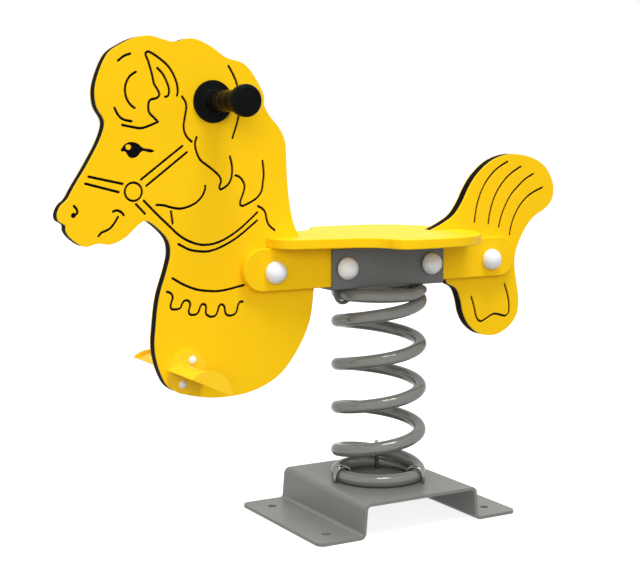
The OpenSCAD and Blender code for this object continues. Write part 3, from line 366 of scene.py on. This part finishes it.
def sheetPart(loops, axis, low, high, lowRadius, highRadius, steps=4, skewAngle=20):
    # closed sheet over outlines with holes, its edges rounded on either face
    rings = [(lowRadius * (1 - math.cos(a)), low + lowRadius * (1 - math.sin(a)))
             for a in ([math.pi / 2 * k / steps for k in range(steps, -1, -1)] if lowRadius else [0])]
    rings += [(highRadius * (1 - math.cos(a)), high - highRadius * (1 - math.sin(a)))
              for a in ([math.pi / 2 * k / steps for k in range(steps + 1)] if highRadius else [0])]
    verts, faces, starts = [], [], []
    for loop in loops:
        starts.append(len(verts))
        for inset, height in rings:
            for p in insetLoop(loop, inset):
                spot = [0, 0, 0]
                spot[axis], spot[(axis + 1) % 3], spot[(axis + 2) % 3] = height, p.x, p.y
                verts.append(tuple(spot))
        count = len(loop)
        for r in range(len(rings) - 1):
            for i in range(count):
                a = starts[-1] + r * count + i
                b = starts[-1] + r * count + (i + 1) % count
                faces.append((a, b, b + count, a + count))
    # the flat faces are filled in a skewed position, where no straight edge lies level
    skew = Matrix.Rotation(math.radians(skewAngle), 2)
    outers = [n for n, loop in enumerate(loops) if loopArea(loop) > 0]
    for n in outers:
        own = [n] + [h for h, hole in enumerate(loops) if loopArea(hole) < 0 and holds(loops[n], hole[0])
                     and not any(loopArea(loops[n]) > loopArea(loops[o]) and holds(loops[o], hole[0])
                                 for o in outers if o != n)]
        for r, flip in ((0, True), (len(rings) - 1, False)):
            shapes, index = [], []
            for m in own:
                ring = insetLoop(loops[m], rings[r][0])
                apart = [i for i in range(len(ring)) if (ring[i] - ring[i - 1]).length > touching]
                shapes.append([ring[i] for i in apart])
                index += [starts[m] + r * len(ring) + i for i in apart]
            points = [p for shape in shapes for p in shape]
            tris = tessellate_polygon([[(skew @ p).to_3d() for p in shape] for shape in shapes])
            turn = sum((points[b] - points[a]).cross(points[c] - points[a]) for a, b, c in tris)
            for tri in tris:
                ring = [index[i] for i in tri]
                faces.append(ring if (turn > 0) != flip else ring[::-1])
    return verts, faces


def sheetPiece(name, nodeName, axis, side, faceRadius, backRadius=0.0, longest=2.5, redraw=None):
    lowest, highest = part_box(nodeName)
    radii = (backRadius, faceRadius) if side > 0 else (faceRadius, backRadius)
    loops = [smoothLoop(loop, longest * mm) for loop in faceLoops(nodeName, axis, side)]
    loops = redraw(loops) if redraw else loops
    for p in (p for loop in loops for p in loop):
        # a smoothed curve stays within the node's own reach
        p.x = min(max(p.x, lowest[(axis + 1) % 3]), highest[(axis + 1) % 3])
        p.y = min(max(p.y, lowest[(axis + 2) % 3]), highest[(axis + 2) % 3])
    part = sheetPart(loops, axis, lowest[axis], highest[axis], radii[0] * mm, radii[1] * mm)
    piece = addPiece(name, *part)
    evenNormals(piece)
    return piece


def softCopy(name, nodeName, edgeRadius, corner=50, steps=3, level=0.4):
    # the node's own shape with its hard edges rounded
    work = mergedMesh(nodeName)
    bmesh.ops.dissolve_limit(work, angle_limit=math.radians(level), verts=work.verts, edges=work.edges)
    work.verts.index_update()
    verts = [v.co.copy() for v in work.verts]
    piece = addPiece(name, verts, [[v.index for v in f.verts] for f in work.faces])
    work.free()
    bevel = piece.modifiers.new("edgeRadius", "BEVEL")
    bevel.width = edgeRadius * mm
    bevel.segments = steps
    bevel.limit_method = "ANGLE"
    bevel.angle_limit = math.radians(corner)
    bevel.miter_outer = "MITER_ARC"
    evenNormals(piece)
    return piece


def lathe(profile, sides=64):
    # turned part about Z from points (radius, height); the ends lie on the axis
    verts, faces, rows = [], [], []
    for radius, height in profile:
        rows.append(len(verts))
        turns = 1 if radius == 0 else sides
        for k in range(turns):
            a = 2 * math.pi * k / sides
            verts.append((radius * math.cos(a), radius * math.sin(a), height))
    for i in range(len(profile) - 1):
        lowPoint, highPoint = profile[i][0] == 0, profile[i + 1][0] == 0
        for k in range(sides):
            n = (k + 1) % sides
            if lowPoint:
                faces.append((rows[i], rows[i + 1] + n, rows[i + 1] + k))
            elif highPoint:
                faces.append((rows[i] + k, rows[i] + n, rows[i + 1]))
            else:
                faces.append((rows[i] + k, rows[i] + n, rows[i + 1] + n, rows[i + 1] + k))
    return verts, faces


def arc(centre, radius, start, end, steps):
    return [(centre[0] + radius * math.cos(math.radians(start + (end - start) * k / steps)),
             centre[1] + radius * math.sin(math.radians(start + (end - start) * k / steps)))
            for k in range(steps + 1)]


def tube(rings):
    # closed bar through rings of points
    sides = len(rings[0])
    verts = [p for ring in rings for p in ring]
    faces = []
    for r in range(len(rings) - 1):
        for k in range(sides):
            a, b = r * sides + k, r * sides + (k + 1) % sides
            faces.append((a, b, b + sides, a + sides))
    last = (len(rings) - 1) * sides
    faces += [list(range(sides))[::-1], [last + k for k in range(sides)]]
    return verts, faces


def scaled(profile):
    return [(r * mm, z * mm) for r, z in profile]


# Panels: yellow layers with routed grooves over the black core
panelSet = dict(edge=0.6, core=0.0, open=0.25)
eyeSet = dict(x=416.2, z=580.3, longest=0.8, corner=120, spot=(6.3, 4.4), spotRadius=3.9, spotSides=24,
              outline=((17.5, 0), (16, -1.8), (12.5, -1.2), (10, -3.2), (7.5, -7.2), (4, -10.2),
                       (-0.3, -11), (-5, -10), (-9.5, -7), (-12.5, -3.2), (-15, -1.5), (-19.5, -1.8),
                       (-30, -3.2), (-33, -1.5), (-30.5, 0.4), (-22, 2.1), (-16, 3.2), (-12.5, 5.5),
                       (-9, 8.8), (-4, 10.8), (2.5, 11.7), (8, 10.5), (12.5, 7.6), (15.5, 4)))


def redrawn(loops):
    # the cutter leaves its grooves slightly open, and the eye has a finer outline than the solid's
    opened = [insetLoop(loop, panelSet["open"] * mm) if loopArea(loop) < 0 else loop for loop in loops]
    centre = Vector((eyeSet["z"], eyeSet["x"]))
    eye = next((loop for loop in opened if loopArea(loop) < 0 and holds(loop, centre * mm)), None)
    if not eye:
        return opened
    sides = eyeSet["spotSides"]
    spot = [(eyeSet["spot"][0] + x, eyeSet["spot"][1] + z)
            for x, z in arc((0, 0), eyeSet["spotRadius"], 0, 360 - 360 / sides, steps=sides - 1)]
    kept = [loop for loop in opened if loop is not eye and not holds(eye, loop[0])]
    for outline, turn in ((eyeSet["outline"], -1), (spot, 1)):
        points = [(centre + Vector((z, x))) * mm for x, z in outline]
        loop = smoothLoop(points, eyeSet["longest"] * mm, corner=eyeSet["corner"])
        kept.append(loop if loopArea(loop) * turn > 0 else loop[::-1])
    return kept


for figure in ("head", "tail"):
    for label, side in (("left", 1), ("right", -1)):
        node = f"{figure}_skin_{label}"
        dress(sheetPiece(f"{figure}Layer.{label}", node, 1, side, panelSet["edge"], redraw=redrawn),
              yellowSheet, "yellow_sheet", node)
    node = f"{figure}_core"
    dress(sheetPiece(f"{figure}Core", node, 1, 1, panelSet["core"]), blackCore, "black_core", node)
print("panels cut")

# Rails and seat: single sheet with eased edges
railSet = dict(edge=1.6)
for label in ("left", "right"):
    node = f"rail_{label}"
    dress(sheetPiece(f"rail.{label}", node, 1, 1, railSet["edge"], railSet["edge"]),
          yellowSheet, "yellow_sheet", node)
seatSet = dict(edge=2.0, plug=0.35)
dress(sheetPiece("seatBoard", "seat", 2, 1, seatSet["edge"], seatSet["edge"]),
      yellowSheet, "yellow_sheet", "seat")
dress(sheetPiece("seatPlugs", "seat_plugs", 2, 1, seatSet["plug"]),
      yellowSheet, "yellow_sheet", "seat_plugs")
print("rails and seat cut")

# Base plate and channel: bent steel sheet with dulled edges
steelSet = dict(edge=0.9)
dress(softCopy("basePlate", "base_plate", steelSet["edge"]),
      greyCoat, "grey_powder_coat", "base_plate", body="base")
# the channel sits in the seat's shade, so it takes the darker copy of the coat: painted shade
dress(softCopy("railChannel", "top_bracket", steelSet["edge"]), shadedCoat, "grey_powder_coat", "top_bracket")
print("steel sheet bent")

# Spring: one wire whose tips are drawn out flat under the next turn, shown as a lower and an upper half
springSet = dict(wire=20, coil=131.8, foot=54.25, length=310, pitch=69.3, flat=307, ease=60, rise=147,
                 tipGap=1, sides=40, step=3,
                 tips=((0.0, 0.86), (0.5, 0.96)))  # the cut ends are slightly eased: (angle, share of wire)
climbRate = springSet["pitch"] / 360
coilRise = springSet["length"] - springSet["wire"]
activeArc = coilRise / climbRate
wireArc = 2 * springSet["flat"] + springSet["ease"] + activeArc
firstAngle = springSet["rise"] - springSet["flat"] - springSet["ease"] / 2


def climbAt(a):
    ease = springSet["ease"]
    if a < 0:
        return 0
    if a < ease:
        return climbRate * a * a / (2 * ease)
    if a < activeArc:
        return climbRate * (a - ease / 2)
    if a < activeArc + ease:
        return coilRise - climbRate * (activeArc + ease - a) ** 2 / (2 * ease)
    return coilRise


def tipHeight(a):
    return min(springSet["wire"], climbAt(a + 360 - springSet["flat"]) - springSet["tipGap"])


def wireHeight(a):
    return min(tipHeight(a), tipHeight(wireArc - a))


def wireSpot(a):
    drop = (springSet["wire"] - wireHeight(a)) / 2
    turn = math.radians(firstAngle + a)
    height = springSet["foot"] + springSet["wire"] / 2 + climbAt(a - springSet["flat"])
    height += -drop if a < wireArc / 2 else drop
    return Vector((springSet["coil"] / 2 * math.cos(turn), springSet["coil"] / 2 * math.sin(turn), height))


def wireRing(a, share=1.0):
    turn = math.radians(firstAngle + a)
    out = Vector((math.cos(turn), math.sin(turn), 0))
    run = (wireSpot(a + 1) - wireSpot(a - 1)).normalized()
    up = run.cross(out).normalized()
    ring = []
    for k in range(springSet["sides"]):
        b = 2 * math.pi * k / springSet["sides"]
        offset = (out * math.cos(b) * springSet["wire"] + up * math.sin(b) * wireHeight(a)) * share / 2
        ring.append((wireSpot(a) + offset) * mm)
    return ring


halfSteps = round(wireArc / 2 / springSet["step"])
lowArcs = [wireArc / 2 * k / halfSteps for k in range(halfSteps + 1)]
lowRings = [wireRing(a, s) for a, s in springSet["tips"]] + [wireRing(a) for a in lowArcs[1:]]
highRings = [wireRing(wireArc - a) for a in lowArcs[:0:-1]]
highRings += [wireRing(wireArc - a, s) for a, s in springSet["tips"][::-1]]
springFoot = addPiece("springLower", *tube(lowRings))
springHead = addPiece("springUpper", *tube(highRings))
dress(springFoot, springCoat, "coated_spring_steel", "coil_spring", body=None)
dress(springHead, springCoat, "coated_spring_steel", "coil_spring", body=None)
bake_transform(springFoot)
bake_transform(springHead)
print("spring wound")

# U-bolts that clamp the end turns, with rolled threads, and their flanged nuts
clampSet = dict(rod=6, gap=0.6, pitch=1.0, thread=0.55, threadLength=12, threadSteps=6, runOut=0.2,
                chamfer=0.6, join=0.01, archSteps=24, sides=24, platform=54, sheet=5, floor=369.5, tail=3,
                baseAngles=(0, 120, 240))
nutSet = dict(flats=10, height=5, flange=13.6, flangeHeight=1.5, flangeEdge=0.3, rimHeight=0.8, slack=0.02,
              lead=0.4, chamferFrom=0.98, chamferRate=0.7, topFace=0.96, gap=0.05, sides=48, sharp=25)
archRadius = springSet["wire"] / 2 + clampSet["gap"] + clampSet["rod"] / 2


def rodRing(spot, run, fromEnd):
    # ring of a U-bolt in its own XZ plane; near its ends the rod carries a thread
    side = Vector((run.z, 0, -run.x))
    ring = []
    for k in range(clampSet["sides"]):
        b = 2 * math.pi * k / clampSet["sides"]
        cutIn = 0
        if fromEnd < clampSet["threadLength"]:
            phase = (fromEnd / clampSet["pitch"] + k / clampSet["sides"]) % 1
            cutIn = clampSet["thread"] * abs(2 * phase - 1)
        radius = clampSet["rod"] / 2 - cutIn - max(0, clampSet["chamfer"] - fromEnd)
        ring.append((spot + side * math.cos(b) * radius + Vector((0, 1, 0)) * math.sin(b) * radius) * mm)
    return ring


def uBolt(leg):
    steps, archSteps = clampSet["threadSteps"], clampSet["archSteps"]
    stations = [clampSet["pitch"] / steps * k for k in range(steps * clampSet["threadLength"])]
    stations += [clampSet["threadLength"] + clampSet["runOut"], leg - clampSet["join"]]
    up, down = Vector((0, 0, 1)), Vector((0, 0, -1))
    rings = [rodRing(Vector((-archRadius, 0, s - leg)), up, s) for s in stations]
    for k in range(archSteps + 1):
        a = math.pi * (1 - k / archSteps)
        spot = Vector((archRadius * math.cos(a), 0, archRadius * math.sin(a)))
        rings.append(rodRing(spot, Vector((math.sin(a), 0, -math.cos(a))), leg))
    rings += [rodRing(Vector((archRadius, 0, s - leg)), down, s) for s in stations[::-1]]
    return tube(rings)


def flangedNut():
    # hexagon with turned corners over a dished flange
    sides, flats, flange = nutSet["sides"], nutSet["flats"] / 2, nutSet["flange"] / 2
    top = nutSet["flangeHeight"] + nutSet["height"]
    bore = clampSet["rod"] / 2 + nutSet["slack"]
    verts, faces = [], []
    for k in range(sides):
        a = 2 * math.pi * k / sides
        hexRadius = flats / math.cos((a + math.pi / 6) % (math.pi / 3) - math.pi / 6)
        chamfer = max(0, (hexRadius - flats * nutSet["chamferFrom"]) * nutSet["chamferRate"])
        row = [(bore, 0), (flange - nutSet["flangeEdge"], 0), (flange, nutSet["flangeEdge"]),
               (flange, nutSet["rimHeight"]), (hexRadius, nutSet["flangeHeight"]),
               (hexRadius, top - chamfer), (flats * nutSet["topFace"], top),
               (bore + nutSet["lead"], top), (bore, top - nutSet["lead"])]
        verts += [(r * math.cos(a) * mm, r * math.sin(a) * mm, z * mm) for r, z in row]
        levels = len(row)
        here, there = k * levels, (k + 1) % sides * levels
        for i in range(levels):
            n = (i + 1) % levels
            faces.append((here + i, there + i, there + n, here + n))
    return verts, faces


def clampParts(angles, arcs, up):
    bolts, nuts = [], []
    straight, turned = Matrix.Identity(4), Matrix.Rotation(math.pi, 4, "X")
    end = nutSet["flangeHeight"] + nutSet["height"] + clampSet["tail"]
    reach = springSet["coil"] / 2
    for angle, a in zip(angles, arcs):
        height = wireSpot(a).z
        spin = Matrix.Rotation(math.radians(angle), 4, "Z")
        if up:
            leg = clampSet["floor"] + end - height
            nutHeight = clampSet["floor"] + nutSet["gap"]
        else:
            leg = height - clampSet["platform"] + clampSet["sheet"] + end
            nutHeight = clampSet["platform"] - clampSet["sheet"] - nutSet["gap"]
        spot = Matrix.Translation((reach * mm, 0, height * mm))
        bolts.append(placed(uBolt(leg), spin @ spot @ (turned if up else straight)))
        for s in (-1, 1):
            spot = Matrix.Translation(((reach + s * archRadius) * mm, 0, nutHeight * mm))
            nuts.append(placed(flangedNut(), spin @ spot @ (straight if up else turned)))
    return joined(bolts), joined(nuts)


baseArcs = [a - firstAngle for a in clampSet["baseAngles"]]
baseBolts, baseNuts = clampParts(clampSet["baseAngles"], baseArcs, False)
topTurn = 360 * math.ceil((firstAngle + wireArc - springSet["flat"]) / 360)
topBolts, topNuts = clampParts((0, 180), (topTurn - firstAngle, topTurn - 180 - firstAngle), True)
dress(addPiece("baseClamps", *baseBolts), zincSteel, "zinc_steel", "base_u_bolts", body="base")
dress(addPiece("baseClampNuts", *baseNuts, sharpAngle=nutSet["sharp"]),
      zincSteel, "zinc_steel", "base_clamp_nuts", body="base")
# the top clamps under the channel take the same darker copy of the coat: painted shade
dress(addPiece("topClamps", *topBolts), shadedCoat, "grey_powder_coat", "top_u_bolts")
dress(addPiece("topClampNuts", *topNuts, sharpAngle=nutSet["sharp"]),
      zincSteel, "zinc_steel", "top_clamp_nuts")
print("clamps set")

# Domed caps over the rail bolts
capSet = dict(width=35, height=16.5, wall=2, rim=0.5, rimStart=1.6, lip=0.1, lipHeight=0.12,
              boltHeight=397.55, spots=((77.5, 32.65), (199, 27.6)))
crown = (capSet["width"] ** 2 / 4 + capSet["height"] ** 2) / (2 * capSet["height"])
rimAngle = math.degrees(math.acos(capSet["width"] / 2 / crown))
inner = crown - capSet["wall"]
innerAngle = math.degrees(math.asin((crown - capSet["height"]) / inner))
crownCentre = (0, capSet["height"] - crown)
capProfile = [(max(r, 0), z) for r, z in arc(crownCentre, inner, 90, innerAngle, steps=12)]
capProfile[0] = (0, capProfile[0][1])
outside = arc(crownCentre, crown, rimAngle + capSet["rimStart"], 90, steps=28)
outside[-1] = (0, outside[-1][1])
rimRadius = outside[0][0]
capProfile += [(rimRadius - capSet["rim"], 0), (rimRadius - capSet["lip"], capSet["lipHeight"])] + outside
capPart = lathe(scaled(capProfile))
capParts = []
for reach, faceY in capSet["spots"]:
    for x in (-reach, reach):
        for s in (-1, 1):
            spot = Matrix.Translation((x * mm, s * faceY * mm, capSet["boltHeight"] * mm))
            capParts.append(placed(capPart, spot @ Matrix.Rotation(-math.pi / 2 * s, 4, "X")))
dress(addPiece("boltCaps", *joined(capParts)), capPlastic, "white_cap_plastic", "bolt_caps")
print("caps on")

# Handles: flange, round grip with four shallow rings and a swelling knob with a plugged end
handleSet = dict(x=292, y=10.05, z=649.1, length=115, sides=96, flange=61.4, flangeHeight=5, flangeEdge=2,
                 foot=0.5, root=5.5, grip=31, rings=4, firstRing=18, ringPitch=19.3, ringWidth=5,
                 ringDepth=0.5, ringSteps=12, knob=45.6, knobLength=28, swell=15.1, swellSteps=24,
                 knobEdge=6.5, bore=12.2, boreDepth=95.2, seam=0.4, seamWalls=(0.1, 0.5, 0.6), plug=0.05)
flangeRadius, gripRadius, knobRadius = handleSet["flange"] / 2, handleSet["grip"] / 2, handleSet["knob"] / 2
flangeEdge, root, knobEdge = handleSet["flangeEdge"], handleSet["root"], handleSet["knobEdge"]
handleEnd, boreRadius = handleSet["length"], handleSet["bore"] / 2
gripEnd = handleEnd - handleSet["knobLength"]
handleProfile = [(0, handleSet["boreDepth"]), (boreRadius, handleSet["boreDepth"]), (boreRadius, 0),
                 (flangeRadius - handleSet["foot"], 0), (flangeRadius, handleSet["foot"])]
handleProfile += arc((flangeRadius - flangeEdge, handleSet["flangeHeight"] - flangeEdge),
                     flangeEdge, 0, 90, steps=8)
handleProfile += arc((gripRadius + root, handleSet["flangeHeight"] + root), root, 270, 180, steps=12)
for n in range(handleSet["rings"]):
    middle = handleSet["firstRing"] + n * handleSet["ringPitch"]
    for k in range(handleSet["ringSteps"] + 1):
        s = k / handleSet["ringSteps"]
        handleProfile.append((gripRadius - handleSet["ringDepth"] * (1 - math.cos(2 * math.pi * s)) / 2,
                              middle + (s - 0.5) * handleSet["ringWidth"]))
for k in range(handleSet["swellSteps"] + 1):
    s = k / handleSet["swellSteps"]
    handleProfile.append((gripRadius + (knobRadius - gripRadius) * (1 - math.cos(math.pi * s)) / 2,
                          gripEnd + handleSet["swell"] * s))
handleProfile += arc((knobRadius - knobEdge, handleEnd - knobEdge), knobEdge, 0, 90, steps=14)
seamOut, seamIn, plugEdge = (knobRadius - knobEdge - wall for wall in handleSet["seamWalls"])
handleProfile += [(seamOut, handleEnd - handleSet["seam"]), (seamIn, handleEnd - handleSet["seam"]),
                  (plugEdge, handleEnd - handleSet["plug"]), (0, handleEnd)]
handlePart = lathe(scaled(handleProfile), handleSet["sides"])
for label, s in (("left", 1), ("right", -1)):
    spot = Matrix.Translation((handleSet["x"] * mm, s * handleSet["y"] * mm, handleSet["z"] * mm))
    part = placed(handlePart, spot @ Matrix.Rotation(-math.pi / 2 * s, 4, "X"))
    dress(addPiece(f"handle.{label}", *part), gripPlastic, "black_handle_plastic", f"handle_{label}")
print("handles turned")

# Footrests, and the domed bolts and cap nuts that hold them
footSet = dict(edge=0.7, corner=60, x=339, z=258.1, tilt=-25, faceY=16.1, step=38, dome=12.6,
               domeHeight=5.6, domeStart=3, shank=6, chamfer=0.4, sides=48)
for label in ("left", "right"):
    node = f"footrest_{label}"
    dress(softCopy(f"footrest.{label}", node, footSet["edge"], corner=footSet["corner"]),
          treadPlastic, "yellow_sheet", node)
domeRadius = (footSet["dome"] ** 2 / 4 + footSet["domeHeight"] ** 2) / (2 * footSet["domeHeight"])
domeRim = math.degrees(math.acos(footSet["dome"] / 2 / domeRadius))
domeCurve = arc((0, footSet["domeHeight"] - domeRadius), domeRadius,
                domeRim + footSet["domeStart"], 90, steps=16)
domeCurve[-1] = (0, footSet["domeHeight"])
boltLength, shank, chamfer = 2 * footSet["faceY"], footSet["shank"] / 2, footSet["chamfer"]
domeFoot = (footSet["dome"] / 2 - chamfer, 0)
boltProfile = [(0, -boltLength), (shank - chamfer, -boltLength), (shank, chamfer - boltLength),
               (shank, 0), domeFoot]
nutProfile = [(0, 0), domeFoot]
tilt = Matrix.Translation((footSet["x"] * mm, 0, footSet["z"] * mm))
tilt = tilt @ Matrix.Rotation(math.radians(footSet["tilt"]), 4, "Y")
for name, node, profile, s in (("footBolts", "footrest_bolts", boltProfile, 1),
                               ("footNuts", "footrest_nuts", nutProfile, -1)):
    part = lathe(scaled(profile + domeCurve), footSet["sides"])
    turn = Matrix.Rotation(-math.pi / 2 * s, 4, "X")
    spots = [Matrix.Translation((0, s * footSet["faceY"] * mm, e * footSet["step"] / 2 * mm))
             for e in (-1, 1)]
    piece = addPiece(name, *joined([placed(part, tilt @ spot @ turn) for spot in spots]))
    dress(piece, capPlastic, "white_cap_plastic", node)
print("footrests on")

# Pieces inside the assembly keep their solids and get their finish
insideSet = ((zincSteel, ("seat_screws", "rail_bolts", "rail_nuts", "handle_rod")),
             (capPlastic, ("cap_washers",)))
for finish, names in insideSet:
    for name in names:
        cadNodes[name].data.materials.clear()
        cadNodes[name].data.materials.append(finish)


def seenRays(tree):
    # 1 for what the camera sees, straight or in a gloss; 0 for light that falls on the part
    rays = addNode(tree, "ShaderNodeLightPath")
    seen = rays.outputs["Is Camera Ray"]
    for kind in ("Is Glossy Ray", "Is Transmission Ray"):
        either = addNode(tree, "ShaderNodeMath", {0: seen, 1: rays.outputs[kind]}, operation="MAXIMUM")
        seen = either.outputs[0]
    return seen


# Pale floor, in metres, that reads white to the eye and keeps the shadow
floorSet = dict(size=30, drop=0.0004, face="#787878", shade="#A8A8A8", lift=0.82)
floorFinish = bpy.data.materials.new("pale_studio_floor")
floorFinish.use_nodes = True
tree = floorFinish.node_tree
tree.nodes.clear()
paint = addNode(tree, "ShaderNodeBsdfDiffuse", {"Color": linear(floorSet["face"])})
shade = addNode(tree, "ShaderNodeBsdfDiffuse", {"Color": linear(floorSet["shade"])})
lift = addNode(tree, "ShaderNodeEmission", {"Strength": floorSet["lift"]})
seen = seenRays(tree)
lifted = addNode(tree, "ShaderNodeAddShader", {0: shade.outputs[0], 1: lift.outputs[0]})
shown = addNode(tree, "ShaderNodeMixShader", {0: seen, 1: paint.outputs[0], 2: lifted.outputs[0]})
addNode(tree, "ShaderNodeOutputMaterial", {"Surface": shown.outputs[0]})
half = floorSet["size"] / 2
corners = [(-half, -half, 0), (half, -half, 0), (half, half, 0), (-half, half, 0)]
floor = addPiece("studioFloor", corners, [(0, 1, 2, 3)])
floor.data.materials.append(floorFinish)
floor.location.z = -floorSet["drop"]

# World: even white light, seen as plain white
worldSet = dict(colour="#FFFFFF", light=0.65, seen=1.0)
world = bpy.data.worlds.new("studioWorld")
bpy.context.scene.world = world
world.use_nodes = True
tree = world.node_tree
tree.nodes.clear()
level = addNode(tree, "ShaderNodeMapRange", {"Value": seenRays(tree), "To Min": worldSet["light"],
                                             "To Max": worldSet["seen"]})
sky = addNode(tree, "ShaderNodeBackground",
              {"Color": linear(worldSet["colour"]), "Strength": level.outputs[0]})
addNode(tree, "ShaderNodeOutputWorld", {"Surface": sky.outputs[0]})


def aimed(name, data, spot, aim):
    # a lamp or camera at its spot, turned to what it looks at
    holder = bpy.data.objects.new(name, data)
    holder.location = spot
    holder.rotation_euler = (Vector(aim) - Vector(spot)).to_track_quat("-Z", "Y").to_euler()
    bpy.context.scene.collection.objects.link(holder)
    return holder


# Lamps, in metres and watts: soft boxes far off on all sides for even light
lampSet = (dict(name="streakBox", spot=(0.4, 2.5, 6.2), width=2.6, depth=1.6, power=185, mirrored=True),
           dict(name="topBox", spot=(0.1, 0.0, 6.4), width=2.5, depth=2.5, power=125, mirrored=False),
           dict(name="leftBox", spot=(3.4, 6.8, 2.2), width=3.0, depth=3.0, power=225, mirrored=False),
           dict(name="rightBox", spot=(-0.6, -8.0, 1.6), width=4.0, depth=4.0, power=280, mirrored=False),
           dict(name="frontBox", spot=(6.0, 1.0, 2.6), width=2.5, depth=2.5, power=25, mirrored=False))
lampAim = (0.1, 0, 0.4)
for lamp in lampSet:
    light = bpy.data.lights.new(lamp["name"], "AREA")
    light.shape = "RECTANGLE"
    light.size, light.size_y = lamp["width"], lamp["depth"]
    light.energy = lamp["power"]
    holder = aimed(lamp["name"], light, lamp["spot"], lampAim)
    holder.visible_glossy = lamp["mirrored"]  # only the high one on the left shows in glossy surfaces

# Camera at the photograph's place
viewSet = dict(spot=(1.14637, 1.80908, 0.61955), aim=(0.10749, 0, 0.36137), angle=26.407)
camera = bpy.data.cameras.new("viewCamera")
camera.sensor_fit = "HORIZONTAL"
camera.angle = math.radians(viewSet["angle"])
bpy.context.scene.camera = aimed("viewCamera", camera, viewSet["spot"], viewSet["aim"])
bpy.context.scene.view_settings.view_transform = "Standard"
print("studio set")
